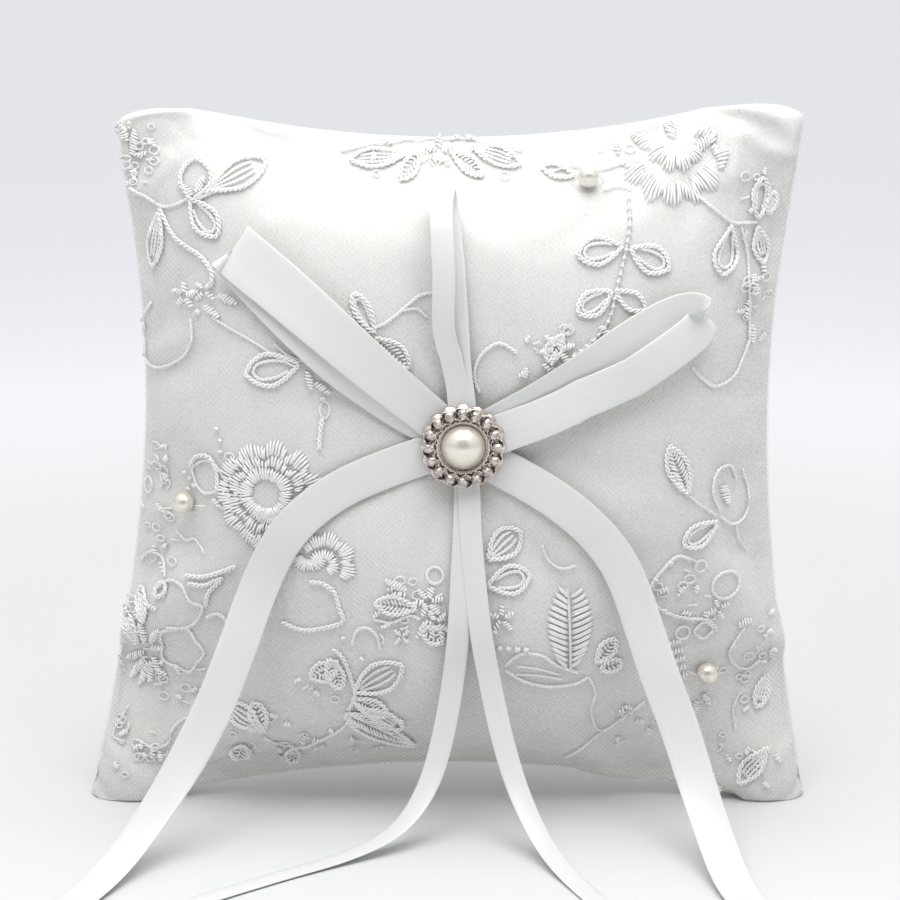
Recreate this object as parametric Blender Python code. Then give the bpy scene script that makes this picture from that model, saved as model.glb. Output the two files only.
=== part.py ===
"""Ring bearer pillow, 200 mm square.

A stuffed satin cushion wears an embroidered tulle face. Two satin ribbons are tacked to its middle: a wide
one with two loops and two tails, and a narrow one with an upright loop and two tails for the rings. A brooch
with a domed pearl in a circle of rhinestones covers the tack, and three pearl beads are sewn to the face.

Metres, +Z up. The cushion stands on its two lower corners, with its face towards -Y. The origin is under the
middle of the cushion and brooch, on the surface that it stands on.
"""

import math

import bmesh
import bpy
from mathutils import Matrix, Vector

# Cushion, in the plane of its side seam: its four corners as (x, z)
BOTTOM_LEFT = (-0.101, 0.0)
BOTTOM_RIGHT = (0.099, 0.0)
TOP_LEFT = (-0.096, 0.198)
TOP_RIGHT = (0.101, 0.200)
CENTRE_Z = 0.100
HALF = 0.100
LEFT_PINCH = 0.0125
RIGHT_PINCH = 0.0115
TOP_DIP = 0.0065
BOTTOM_ARCH = 0.010
PINCH_SKEW = 0.25

# The two lower corners are feet: the seam lies on the floor past FOOT_START, and each foot's cloth sinks by
# FOOT_SINK at FOOT_MIDDLE, where what would lie under the floor is pressed flat.
FOOT_START = 0.82
FOOT_MIDDLE = 0.90
FOOT_SINK = 0.0112

# Cushion, in depth
DEPTH = 0.034
EDGE_POWER = 0.55
FOOT_POWER = 0.35
FOOT_SPREAD = 0.06
DIMPLE_DEPTH = 0.006
DIMPLE_RADIUS = 0.026
FORM_STEPS = 16

# Layers of the cushion, counted inwards from its outer surface
SEAM_GAP = 0.0003
CLOTH = 0.0004
LAYER_GAP = 0.0003
FILL_INSET = 0.0030

# Ribbons
BOW_X = 0.0035
BOW_Z = 0.107
RIBBON_THICKNESS = 0.0003
WIDE_RIBBON = 0.0105
NARROW_RIBBON = 0.0060
POINTS_PER_SPAN = 4

# Where the tails' roots are held, each as (x, z, lift) in millimetres. They lift about these.
LEFT_TAIL_HINGE = (-8.6, 108.6, 1.2)
RIGHT_TAIL_HINGE = (16.2, 105.2, 1.2)
RING_TAILS_HINGE = (4.5, 94.8, 1.3)

# Brooch, with heights counted outwards from the back of its plate
BROOCH_LIFT = 0.0048
BROOCH_RADIUS = 0.0118
PLATE_HEIGHT = 0.0008
RIM_HEIGHT = 0.0017
RIM_WALL = 0.0005
COLLAR_INNER = 0.0066
COLLAR_OUTER = 0.0071
COLLAR_HEIGHT = 0.0022
PEARL_RADIUS = 0.0063
PEARL_FOOT = 0.0011
PEARL_TOP = 0.0065
STONE_COUNT = 16
STONE_CIRCLE = 0.0092
STONE_RADIUS = 0.0016

# Sewn pearl beads, as (name, x, z), and the thread
BEADS = (
    ("upper_right", 0.037, 0.1755),
    ("left", -0.071, 0.088),
    ("lower_right", 0.0705, 0.041),
)
BEAD_RADIUS = 0.0030
BEAD_BORE = 0.0006
BEAD_LIFT = 0.0036
THREAD_RADIUS = 0.0002
TACK_RADIUS = 0.0004
TACK_LIFT = 0.0009

# The brooch reaches further forward than the back panel does backwards. This puts the origin midway.
BROOCH_REACH = DEPTH - DIMPLE_DEPTH + BROOCH_LIFT + PEARL_TOP
SEAM_Y = (BROOCH_REACH - DEPTH) / 2


def clear_scene() -> None:
    """Removes every object of the startup scene."""
    for found in list(bpy.data.objects):
        bpy.data.objects.remove(found, do_unlink=True)


def make_material(name, colour, roughness, metallic=0.0):
    """A Principled material of one linear colour."""
    material = bpy.data.materials.new(name)
    material.use_nodes = True
    shader = material.node_tree.nodes["Principled BSDF"]
    shader.inputs["Base Color"].default_value = (*colour, 1.0)
    shader.inputs["Roughness"].default_value = roughness
    shader.inputs["Metallic"].default_value = metallic
    material.diffuse_color = (*colour, 1.0)
    return material


def add_node(name, form, material):
    """Turns a closed bmesh into a named object with one material and outward faces."""
    bmesh.ops.recalc_face_normals(form, faces=form.faces)
    mesh = bpy.data.meshes.new(name)
    form.to_mesh(mesh)
    form.free()
    made = bpy.data.objects.new(name, mesh)
    bpy.context.scene.collection.objects.link(made)
    mesh.materials.append(material)
    mesh.shade_smooth()
    mesh.set_sharp_from_angle(angle=math.radians(40))
    return made


def outline(s, t):
    """The (x, z) of a place on the cushion, where s and t run from -1 to 1 across and up."""
    right = (1 + s) / 2
    top = (1 + t) / 2
    corners = (BOTTOM_LEFT, BOTTOM_RIGHT, TOP_LEFT, TOP_RIGHT)
    shares = ((1 - right) * (1 - top), right * (1 - top), (1 - right) * top, right * top)
    x = sum(share * corner[0] for share, corner in zip(shares, corners))
    z = sum(share * corner[1] for share, corner in zip(shares, corners))
    waist = (1 - t * t) * (1 + PINCH_SKEW * t)
    x += ((1 - right) ** 2 * LEFT_PINCH - right**2 * RIGHT_PINCH) * waist
    arch = max(0.0, 1 - (s / FOOT_START) ** 2)
    foot = max(0.0, 1 - ((abs(s) - FOOT_MIDDLE) / (1 - FOOT_MIDDLE)) ** 2)
    z += (1 - top) ** 2 * BOTTOM_ARCH * arch - top**2 * TOP_DIP * (1 - s * s)
    z -= (1 - top) ** 8 * FOOT_SINK * foot
    return x, z


def fullness(s, t):
    """How far the stuffed cushion stands out from its seam plane, on either side, in metres."""
    body = max((1 - s * s) * (1 - t * t), 0.0)
    corner = math.exp(-((1 - abs(s)) ** 2 + (1 + t) ** 2) / FOOT_SPREAD)
    power = EDGE_POWER + (FOOT_POWER - EDGE_POWER) * corner
    return DEPTH * body**power if body else 0.0


def dimple(x, z):
    """How deep the tack under the brooch pulls the face in at this place, in metres."""
    away = (x - BOW_X) ** 2 + (z - BOW_Z) ** 2
    return DIMPLE_DEPTH * math.exp(-away / DIMPLE_RADIUS**2)


def form_point(s, t, side, inset, floor):
    """A point of the cushion's surface, or of a layer under it.

    side is -1 on the face and 1 on the back, inset is how deep the layer lies, and floor is the height at
    which the two lower corners are pressed flat.
    """
    x, z = outline(s, t)
    out = fullness(s, t)
    if side < 0:
        out -= dimple(x, z) * min(1.0, out / DIMPLE_DEPTH)
    flat_scale = 1 - inset / HALF
    y = side * (SEAM_GAP / 2 + out * (1 - inset / DEPTH))
    z = CENTRE_Z + (z - CENTRE_Z) * flat_scale
    return Vector((x * flat_scale, SEAM_Y + y, max(z, floor)))


def face_parameters(x, z):
    """The (s, t) whose outline is at this x and z, by repeated correction."""
    s, t = x / HALF, (z - CENTRE_Z) / HALF
    for _ in range(20):
        found_x, found_z = outline(s, t)
        s = max(-0.999, min(0.999, s + (x - found_x) / HALF))
        t = max(-0.999, min(0.999, t + (z - found_z) / HALF))
    return s, t


def on_face(x, z, lift):
    """A point this far in front of the cushion's face."""
    s, t = face_parameters(x, z)
    surface = form_point(s, t, -1, 0.0, 0.0)
    return Vector((x, surface.y - lift, z))


def form_steps():
    """Places across the cushion, closer together towards its edges."""
    return [math.sin(math.pi / 2 * (2 * i / FORM_STEPS - 1)) for i in range(FORM_STEPS + 1)]


def add_skin(form, side, inset, floor):
    """Adds one open sheet of the cushion's form, and returns its rows of vertices."""
    steps = form_steps()
    rows = [[form.verts.new(form_point(s, t, side, inset, floor)) for s in steps] for t in steps]
    for row, (lower, upper) in enumerate(zip(rows, rows[1:])):
        for i in range(FORM_STEPS):
            corners = (lower[i], lower[i + 1], upper[i + 1], upper[i])
            # Each quarter's diagonals run towards its own corner, so that no triangle lies flat in it.
            if (i < FORM_STEPS // 2) == (row < FORM_STEPS // 2):
                form.faces.new(corners[:3])
                form.faces.new((corners[0], corners[2], corners[3]))
            else:
                form.faces.new((corners[0], corners[1], corners[3]))
                form.faces.new(corners[1:])
    return rows


def edge_of(rows):
    """The vertices round the edge of a grid, in order."""
    right = [row[-1] for row in rows[1:]]
    top = list(reversed(rows[-1][:-1]))
    left = [row[0] for row in reversed(rows[1:-1])]
    return rows[0] + right + top + left


def join_edges(form, first, second):
    """Fills the band between two loops that have the same number of vertices."""
    for i, vertex in enumerate(first):
        after = (i + 1) % len(first)
        form.faces.new((vertex, first[after], second[after]))
        form.faces.new((vertex, second[after], second[i]))


def make_panel(name, material, side, inset, floor):
    """One cloth panel: a thin shell, open along the side seam."""
    form = bmesh.new()
    outer = add_skin(form, side, inset, floor)
    inner = add_skin(form, side, inset + CLOTH, floor + CLOTH)
    join_edges(form, edge_of(outer), edge_of(inner))
    return add_node(name, form, material)


def make_fill(material):
    """The stuffing: one closed body inside the panels."""
    form = bmesh.new()
    front = add_skin(form, -1, FILL_INSET, FILL_INSET)
    back = add_skin(form, 1, FILL_INSET, FILL_INSET)
    join_edges(form, edge_of(front), edge_of(back))
    return add_node("fibre_fill", form, material)


def smooth_route(points):
    """A Catmull-Rom curve through the points of a route."""
    route = []
    for i in range(len(points) - 1):
        before = points[max(i - 1, 0)]
        start, end = points[i], points[i + 1]
        after = points[min(i + 2, len(points) - 1)]
        for step in range(POINTS_PER_SPAN):
            u = step / POINTS_PER_SPAN
            bend = 2 * before - 5 * start + 4 * end - after
            turn = 3 * (start - end) + after - before
            route.append(start + 0.5 * (u * (end - before) + u * u * bend + u**3 * turn))
    return route + [points[-1].copy()]


def tangents(route):
    """The direction of a route at each of its points."""
    last = len(route) - 1
    return [(route[min(i + 1, last)] - route[max(i - 1, 0)]).normalized() for i in range(last + 1)]


def move_origin(target, place):
    """Puts an object's origin at a place without moving its shape."""
    target.data.transform(Matrix.Translation(-place))
    target.location = place


def make_ribbon(name, material, route, across, width):
    """A flat strip that follows a route, where across holds the direction of its width at each point."""
    form = bmesh.new()
    rings = []
    for point, along, side in zip(route, tangents(route), across):
        half_width = side * (width / 2)
        half_thickness = along.cross(side).normalized() * (RIBBON_THICKNESS / 2)
        corners = (
            point - half_width - half_thickness,
            point + half_width - half_thickness,
            point + half_width + half_thickness,
            point - half_width + half_thickness,
        )
        rings.append([form.verts.new(corner) for corner in corners])
    for first, second in zip(rings, rings[1:]):
        for i in range(4):
            after = (i + 1) % 4
            form.faces.new((first[i], first[after], second[after], second[i]))
    form.faces.new(rings[0])
    form.faces.new(rings[-1])
    return add_node(name, form, material)


def tail_facing(point):
    """The way that a tail's upper side looks: forwards on the face, and up where it lies on the floor."""
    upright = min(max((point.z - 0.002) / 0.045, 0.0), 1.0)
    return Vector((0, -upright, 1 - upright)).normalized()


def make_tail(name, material, points, width, hinge):
    """A ribbon tail that turns from facing forwards to lying flat, and lifts about its hinge."""
    route = smooth_route(points)
    across = [along.cross(tail_facing(point)).normalized() for point, along in zip(route, tangents(route))]
    tail = make_ribbon(name, material, route, across, width)
    move_origin(tail, hinge)


def make_loop(name, material, points, width):
    """A ribbon loop, whose width stays square to the line from its root to its fold."""
    route = smooth_route(points)
    fold = max(route, key=lambda point: (point - route[0]).length)
    reach = fold - route[0]
    side = Vector((-reach.z, 0, reach.x)).normalized()
    across = [(side - along * side.dot(along)).normalized() for along in tangents(route)]
    return make_ribbon(name, material, route, across, width)


def millimetres(*values):
    """A point given in millimetres."""
    return Vector(values) / 1000


def face_route(*stops):
    """Points in front of the face, from stops of (x, z, lift) in millimetres."""
    return [on_face(x / 1000, z / 1000, lift / 1000) for x, z, lift in stops]


def hinge_at(x, z, lift):
    """Where a tail's root is held against the face, from millimetres."""
    return on_face(x / 1000, z / 1000, lift / 1000)


def make_ribbons(material):
    """The wide bow, the narrow loop and the four tails."""
    make_loop(
        "wide_bow_left_loop",
        material,
        face_route(
            (2.7, 107.6, 1.0),
            (-8, 116.5, 1.1),
            (-26, 132, 1.6),
            (-42, 147, 2.0),
            (-54, 158.5, 2.2),
            (-60, 164, 3.4),
            (-58, 158, 5.2),
            (-46, 146, 5.4),
            (-28, 130, 4.6),
            (-8, 114.5, 1.9),
            (2.3, 107.2, 1.7),
        ),
        WIDE_RIBBON,
    )
    make_loop(
        "wide_bow_right_loop",
        material,
        face_route(
            (4.4, 107.6, 2.45),
            (14.5, 113.4, 1.6),
            (32, 124.5, 2.0),
            (50, 135, 2.2),
            (64, 143, 2.6),
            (70, 144.5, 4.2),
            (65, 139, 6.2),
            (52, 130, 6.6),
            (34, 119.5, 5.2),
            (15, 111.0, 2.3),
            (4.8, 107.0, 3.0),
        ),
        WIDE_RIBBON,
    )
    make_loop(
        "ring_ribbon_loop",
        material,
        face_route(
            (3.6, 108.2, 3.6),
            (3.2, 114, 3.2),
            (2.6, 121, 2.1),
            (0.8, 140, 2.0),
            (-0.8, 158, 2.0),
            (-2.0, 171, 2.4),
            (-2.4, 175, 3.6),
            (-2.6, 170, 5.0),
            (-1.8, 158, 5.4),
            (-0.2, 140, 4.8),
            (2.4, 121, 2.8),
            (3.1, 114, 3.8),
            (3.4, 108.2, 4.2),
        ),
        NARROW_RIBBON,
    )
    make_tail(
        "wide_left_tail",
        material,
        face_route((-9.3, 103.7, 1.2), (-20, 100, 1.6), (-32, 94, 2.0), (-43, 84, 3.0))
        + [
            millimetres(-51, -33.0, 70),
            millimetres(-57, -38.0, 54),
            millimetres(-63, -43.0, 39),
            millimetres(-71, -49.0, 24),
            millimetres(-80, -57.0, 11),
            millimetres(-88, -70.0, 3.0),
            millimetres(-95, -86.0, 0.9),
            millimetres(-104, -106.0, 0.7),
            millimetres(-113, -124.0, 0.7),
        ],
        WIDE_RIBBON,
        hinge_at(*LEFT_TAIL_HINGE),
    )
    make_tail(
        "wide_right_tail",
        material,
        face_route((14.7, 100.1, 1.2), (26, 94, 1.6), (36, 86.5, 2.2), (45, 76, 3.2))
        + [
            millimetres(51, -35.0, 62),
            millimetres(56, -39.5, 47),
            millimetres(61.5, -44.0, 33),
            millimetres(66, -51.0, 19),
            millimetres(70, -62.0, 8),
            millimetres(73, -77.0, 2.0),
            millimetres(77, -93.0, 0.8),
            millimetres(82, -110.0, 0.7),
            millimetres(86, -124.0, 0.7),
        ],
        WIDE_RIBBON,
        hinge_at(*RIGHT_TAIL_HINGE),
    )
    make_tail(
        "ring_ribbon_left_tail",
        material,
        face_route((4.2, 94.3, 1.3), (3.8, 84, 1.4), (3.0, 72, 1.8), (2.2, 58, 3.0))
        + [
            millimetres(1.0, -34.5, 44),
            millimetres(-1.6, -37.0, 29),
            millimetres(-6.0, -42.0, 15),
            millimetres(-14, -50.0, 5.5),
            millimetres(-26, -61.0, 1.2),
            millimetres(-40, -76.0, 0.6),
            millimetres(-55, -92.0, 0.6),
            millimetres(-70, -107.0, 0.6),
        ],
        NARROW_RIBBON,
        hinge_at(*RING_TAILS_HINGE),
    )
    make_tail(
        "ring_ribbon_right_tail",
        material,
        face_route((4.9, 94.3, 2.1), (5.2, 84, 2.2), (6.2, 72, 2.6), (8.2, 57, 4.0))
        + [
            millimetres(11.0, -36.5, 42),
            millimetres(14.5, -41.0, 27),
            millimetres(19.0, -47.0, 14),
            millimetres(25.0, -57.0, 4.5),
            millimetres(31.0, -70.0, 1.0),
            millimetres(37.5, -86.0, 0.6),
            millimetres(44.0, -103.0, 0.6),
            millimetres(51.0, -120.0, 0.6),
        ],
        NARROW_RIBBON,
        hinge_at(*RING_TAILS_HINGE),
    )


def turned(profile, steps, axis_point, out, wheel):
    """A closed body turned from a profile of (radius, height).

    A profile whose ends are off the axis is a closed ring. out is the unit direction of height, and wheel is a
    unit direction square to it, where the turn starts.
    """
    form = bmesh.new()
    side = out.cross(wheel)
    open_ends = profile[0][0] == 0.0
    rings = []
    for radius, height in profile:
        if radius == 0.0:
            rings.append([form.verts.new(axis_point + out * height)])
            continue
        ring = []
        for i in range(steps):
            angle = 2 * math.pi * i / steps
            spoke = wheel * math.cos(angle) + side * math.sin(angle)
            ring.append(form.verts.new(axis_point + out * height + spoke * radius))
        rings.append(ring)
    pairs = list(zip(rings, rings[1:]))
    if not open_ends:
        pairs.append((rings[-1], rings[0]))
    for first, second in pairs:
        for i in range(steps):
            after = (i + 1) % steps
            if len(first) == 1:
                form.faces.new((first[0], second[i], second[after]))
            elif len(second) == 1:
                form.faces.new((first[i], first[after], second[0]))
            else:
                form.faces.new((first[i], first[after], second[after], second[i]))
    return form


def make_brooch(metal, pearl, crystal):
    """The setting, its domed pearl and the circle of rhinestones."""
    back = on_face(BOW_X, BOW_Z, BROOCH_LIFT)
    out = Vector((0, -1, 0))
    wheel = Vector((1, 0, 0))
    inner_rim = BROOCH_RADIUS - RIM_WALL
    setting = (
        (0.0, 0.0),
        (BROOCH_RADIUS - 0.0004, 0.0),
        (BROOCH_RADIUS, 0.0005),
        (BROOCH_RADIUS, RIM_HEIGHT),
        (inner_rim, RIM_HEIGHT),
        (inner_rim, PLATE_HEIGHT),
        (COLLAR_OUTER, PLATE_HEIGHT),
        (COLLAR_OUTER, COLLAR_HEIGHT),
        (COLLAR_INNER, COLLAR_HEIGHT),
        (COLLAR_INNER, PLATE_HEIGHT),
        (0.0, PLATE_HEIGHT),
    )
    add_node("brooch_setting", turned(setting, 32, back, out, wheel), metal)

    dome = [(0.0, PEARL_FOOT)]
    rise = PEARL_TOP - PEARL_FOOT
    for i in range(6):
        angle = math.radians(90 * i / 6)
        dome.append((PEARL_RADIUS * math.cos(angle), PEARL_FOOT + rise * math.sin(angle)))
    dome.append((0.0, PEARL_TOP))
    add_node("brooch_centre_pearl", turned(dome, 24, back, out, wheel), pearl)

    stone = ((0.0, 0.0011), (0.0005, 0.0011), (STONE_RADIUS, 0.0019), (0.0010, 0.0026), (0.0, 0.0026))
    for i in range(STONE_COUNT):
        angle = 2 * math.pi * i / STONE_COUNT
        spoke = Vector((math.cos(angle), 0, math.sin(angle)))
        seat = back + spoke * STONE_CIRCLE
        add_node(f"rhinestone_{i + 1:02d}", turned(stone, 8, seat, out, spoke), crystal)


def make_tack(material):
    """The knot of thread that holds both ribbons and the brooch to the middle of the cushion."""
    foot = on_face(BOW_X, BOW_Z, TACK_LIFT)
    length = BROOCH_LIFT - TACK_LIFT - LAYER_GAP
    stem = ((0.0, 0.0), (TACK_RADIUS, 0.0), (TACK_RADIUS, length), (0.0, length))
    add_node("centre_tack_thread", turned(stem, 8, foot, Vector((0, -1, 0)), Vector((1, 0, 0))), material)


def make_thread(name, material, points):
    """A thin thread along a route."""
    curve = bpy.data.curves.new(name, "CURVE")
    curve.dimensions = "3D"
    curve.bevel_depth = THREAD_RADIUS
    curve.bevel_resolution = 1
    curve.use_fill_caps = True
    route = smooth_route(points)
    spline = curve.splines.new("POLY")
    spline.points.add(len(route) - 1)
    for target, point in zip(spline.points, route):
        target.co = (*point, 1.0)
    curve.materials.append(material)
    made = bpy.data.objects.new(name, curve)
    bpy.context.scene.collection.objects.link(made)
    return made


def make_bead(place, x, z, pearl, thread):
    """A pearl bead with its hole across the cushion, and the thread that sews it on."""
    centre = on_face(x, z, BEAD_LIFT)
    bore = [(BEAD_BORE, BEAD_RADIUS * 0.98), (BEAD_BORE, -BEAD_RADIUS * 0.98)]
    start = math.atan2(BEAD_BORE, BEAD_RADIUS * 0.98) + math.radians(8)
    arc = []
    for i in range(9):
        angle = math.pi - start - (math.pi - 2 * start) * i / 8
        arc.append((BEAD_RADIUS * math.sin(angle), BEAD_RADIUS * math.cos(angle)))
    ball = turned(bore + arc, 16, centre, Vector((1, 0, 0)), Vector((0, 0, 1)))
    add_node(f"sewn_pearl_{place}", ball, pearl)

    lift = BEAD_LIFT
    stops = ((-0.0046, 0.0005), (-0.0040, lift - 0.0010), (-0.0031, lift), (0.0, lift))
    left = [on_face(x + dx, z, height) for dx, height in stops[:2]]
    through = [centre + Vector((dx, 0, 0)) for dx in (-0.0031, 0.0, 0.0031)]
    right = [on_face(x - dx, z, height) for dx, height in reversed(stops[:2])]
    make_thread(f"pearl_thread_{place}", thread, left + through + right)


def make_closing_seam(material):
    """The hand-sewn thread that closes the stuffing gap in the bottom seam."""
    points = []
    for i in range(9):
        x, z = outline(-0.30 + 0.60 * i / 8, -1.0)
        wave = 0.0003 if i % 2 else -0.0003
        points.append(Vector((x, SEAM_Y + wave, z - 0.0006)))
    make_thread("closing_seam_thread", material, points)


def main():
    clear_scene()
    satin = make_material("white_satin", (0.86, 0.86, 0.85), 0.45)
    lace = make_material("embroidered_tulle", (0.88, 0.88, 0.86), 0.70)
    fibre = make_material("polyester_fibre", (0.90, 0.90, 0.90), 0.95)
    ribbon = make_material("satin_ribbon", (0.90, 0.90, 0.89), 0.35)
    thread = make_material("sewing_thread", (0.88, 0.87, 0.84), 0.60)
    pearl = make_material("ivory_pearl", (0.86, 0.80, 0.74), 0.18)
    metal = make_material("rose_silver_metal", (0.72, 0.64, 0.60), 0.22, 1.0)
    crystal = make_material("smoky_rhinestone", (0.62, 0.58, 0.55), 0.05)

    outer_layer = CLOTH + LAYER_GAP
    make_panel("lace_overlay", lace, -1, 0.0, 0.0)
    make_panel("front_satin_panel", satin, -1, outer_layer, outer_layer)
    make_panel("back_satin_panel", satin, 1, 0.0, 0.0)
    make_fill(fibre)
    make_closing_seam(thread)
    make_ribbons(ribbon)
    make_tack(thread)
    make_brooch(metal, pearl, crystal)
    for place, x, z in BEADS:
        make_bead(place, x, z, pearl, thread)


main()
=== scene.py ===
"""Looks of a ring bearer pillow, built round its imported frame.

A stuffed satin cushion wears an embroidered net on its face. Satin ribbons are tacked to its middle under a
pearl brooch, and three pearl beads are sewn on. Metres, +Z up, with the face towards -Y.
"""

import logging
import math
import random
from dataclasses import dataclass, field
from enum import Enum
from typing import Any, Optional, Sequence

import bpy
import numpy as np
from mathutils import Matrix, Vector
from mathutils.bvhtree import BVHTree


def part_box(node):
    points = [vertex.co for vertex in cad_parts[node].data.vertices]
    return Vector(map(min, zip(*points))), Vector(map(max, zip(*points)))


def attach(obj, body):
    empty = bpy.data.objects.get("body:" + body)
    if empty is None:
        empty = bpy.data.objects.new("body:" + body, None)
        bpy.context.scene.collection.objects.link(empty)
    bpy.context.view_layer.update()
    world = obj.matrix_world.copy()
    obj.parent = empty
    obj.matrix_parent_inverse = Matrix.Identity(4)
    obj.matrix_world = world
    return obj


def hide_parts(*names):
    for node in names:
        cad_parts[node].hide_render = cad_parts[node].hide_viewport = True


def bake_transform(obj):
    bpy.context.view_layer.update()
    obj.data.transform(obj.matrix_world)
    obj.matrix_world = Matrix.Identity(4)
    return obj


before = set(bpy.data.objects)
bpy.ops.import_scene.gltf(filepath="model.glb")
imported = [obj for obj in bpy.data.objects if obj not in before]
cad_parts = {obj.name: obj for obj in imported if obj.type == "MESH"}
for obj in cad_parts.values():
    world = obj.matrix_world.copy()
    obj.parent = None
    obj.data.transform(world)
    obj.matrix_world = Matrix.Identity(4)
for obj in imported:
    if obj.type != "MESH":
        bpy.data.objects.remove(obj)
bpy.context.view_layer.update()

LOG = logging.getLogger("pillow")
CUSHION = "cushion"
MM = 0.001

Pair = tuple[float, float]


def linear(hex_colour: str) -> tuple[float, float, float, float]:
    """Turns an sRGB hex value into a linear colour.

    Args:
        hex_colour: Six hex digits after a #.

    Returns:
        Linear red, green and blue, and an alpha of 1.
    """
    parts = [int(hex_colour[i : i + 2], 16) / 255 for i in (1, 3, 5)]
    red, green, blue = (p / 12.92 if p <= 0.04045 else ((p + 0.055) / 1.055) ** 2.4 for p in parts)
    return red, green, blue, 1.0


def plug(
    tree: bpy.types.NodeTree,
    node: bpy.types.Node,
    values: Optional[dict[Any, Any]] = None,
    links: Optional[dict[Any, bpy.types.NodeSocket]] = None,
) -> None:
    """Gives a node its fixed inputs and its links.

    Args:
        tree: The node's tree.
        node: The node.
        values: Fixed values, by input name or number.
        links: Sockets of other nodes, by input name or number.
    """
    for name, value in (values or {}).items():
        node.inputs[name].default_value = value
    for name, source in (links or {}).items():
        tree.links.new(source, node.inputs[name])


def add_node(
    tree: bpy.types.NodeTree,
    kind: str,
    values: Optional[dict[Any, Any]] = None,
    links: Optional[dict[Any, bpy.types.NodeSocket]] = None,
    **settings: Any,
) -> bpy.types.Node:
    """Adds a node with its settings, its fixed inputs and its links.

    Args:
        tree: The node tree that gets it.
        kind: The node's type name.
        values: Fixed values, by input name or number.
        links: Sockets of other nodes, by input name or number.
        **settings: Properties of the node itself.

    Returns:
        The new node.
    """
    made = tree.nodes.new(kind)
    for name, value in settings.items():
        setattr(made, name, value)
    plug(tree, made, values, links)
    return made


def new_material(name: str) -> tuple[bpy.types.Material, bpy.types.NodeTree, bpy.types.Node, bpy.types.Node]:
    """Makes a material and gives what its finish is built from.

    Args:
        name: What the real material is and how it was made.

    Returns:
        The material, its tree, its Principled shader and a node that gives places on the piece.
    """
    material = bpy.data.materials.new(name)
    material.use_nodes = True
    tree = material.node_tree
    return material, tree, tree.nodes["Principled BSDF"], add_node(tree, "ShaderNodeTexCoord")


def wave_scale(pitch: float) -> float:
    """Gives the scale at which a wave texture's bands are pitch metres apart."""
    return 2 * math.pi / (20 * pitch)


@dataclass(frozen=True)
class WovenSatin:
    """Polyester satin, woven with long floats: a soft broad gleam with no visible grain."""

    name: str = "polyester_satin_woven"
    colour: str = "#ECEBE8"
    shade: str = "#E4E3E0"
    roughness: float = 0.46
    # Real floats are about 0.12 mm apart. They are drawn at 0.5 mm, the finest that shows.
    float_pitch: float = 0.5 * MM
    bump: float = 0.015
    # Cloth handled and stuffed has faint slack, in patches about 15 mm across.
    slack_scale: float = 65.0

    def material(self) -> bpy.types.Material:
        """Builds the finish.

        Returns:
            The material.
        """
        material, tree, shader, place = new_material(self.name)
        floats = add_node(
            tree,
            "ShaderNodeTexWave",
            {"Scale": wave_scale(self.float_pitch), "Distortion": 1.5, "Detail": 2.0, "Detail Scale": 2.0},
            {"Vector": place.outputs["Object"]},
            bands_direction="X",
        )
        slack = add_node(
            tree, "ShaderNodeTexNoise", {"Scale": self.slack_scale, "Detail": 3.0}, {"Vector": place.outputs["Object"]}
        )
        tint = add_node(
            tree,
            "ShaderNodeMix",
            {6: linear(self.colour), 7: linear(self.shade)},
            {0: slack.outputs["Fac"]},
            data_type="RGBA",
        )
        fine = add_node(
            tree, "ShaderNodeBump", {"Strength": self.bump, "Distance": 0.05 * MM}, {"Height": floats.outputs["Fac"]}
        )
        broad = add_node(
            tree,
            "ShaderNodeBump",
            {"Strength": 0.35, "Distance": 0.6 * MM},
            {"Height": slack.outputs["Fac"], "Normal": fine.outputs["Normal"]},
        )
        plug(
            tree,
            shader,
            {"Roughness": self.roughness, "Sheen Weight": 0.12, "Sheen Roughness": 0.4, "IOR": 1.46},
            {"Base Color": tint.outputs[2], "Normal": broad.outputs["Normal"]},
        )
        return material


@dataclass(frozen=True)
class KnottedNet:
    """Nylon tulle, bobbin-knotted: a see-through net of small diamonds that softens the satin under it."""

    name: str = "nylon_tulle_net"
    colour: str = "#F3F3F1"
    # A real mesh is about 0.9 mm. It is drawn at 1.1 mm, so that each hole still shows.
    pitch: float = 1.1 * MM
    thread: float = 0.16
    haze: float = 0.24
    weight: float = 0.29

    def material(self) -> bpy.types.Material:
        """Builds the finish.

        Returns:
            The material.
        """
        material, tree, shader, place = new_material(self.name)
        apart = add_node(tree, "ShaderNodeSeparateXYZ", links={0: place.outputs["Object"]})
        flat = add_node(tree, "ShaderNodeCombineXYZ", links={0: apart.outputs["X"], 1: apart.outputs["Z"]})
        turned = add_node(
            tree,
            "ShaderNodeVectorRotate",
            {"Angle": math.radians(45)},
            {"Vector": flat.outputs[0]},
            rotation_type="Z_AXIS",
        )
        cells = add_node(
            tree,
            "ShaderNodeTexVoronoi",
            {"Scale": 1 / self.pitch, "Randomness": 0.12},
            {"Vector": turned.outputs[0]},
            voronoi_dimensions="2D",
            feature="DISTANCE_TO_EDGE",
        )
        cover = add_node(
            tree,
            "ShaderNodeMapRange",
            {"From Min": 0.0, "From Max": self.thread, "To Min": self.weight, "To Max": self.haze},
            {"Value": cells.outputs["Distance"]},
        )
        clear = add_node(tree, "ShaderNodeBsdfTransparent")
        mixed = add_node(
            tree, "ShaderNodeMixShader", links={0: cover.outputs[0], 1: clear.outputs[0], 2: shader.outputs[0]}
        )
        plug(tree, shader, {"Base Color": linear(self.colour), "Roughness": 0.6})
        plug(tree, tree.nodes["Material Output"], links={"Surface": mixed.outputs[0]})
        return material


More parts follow.
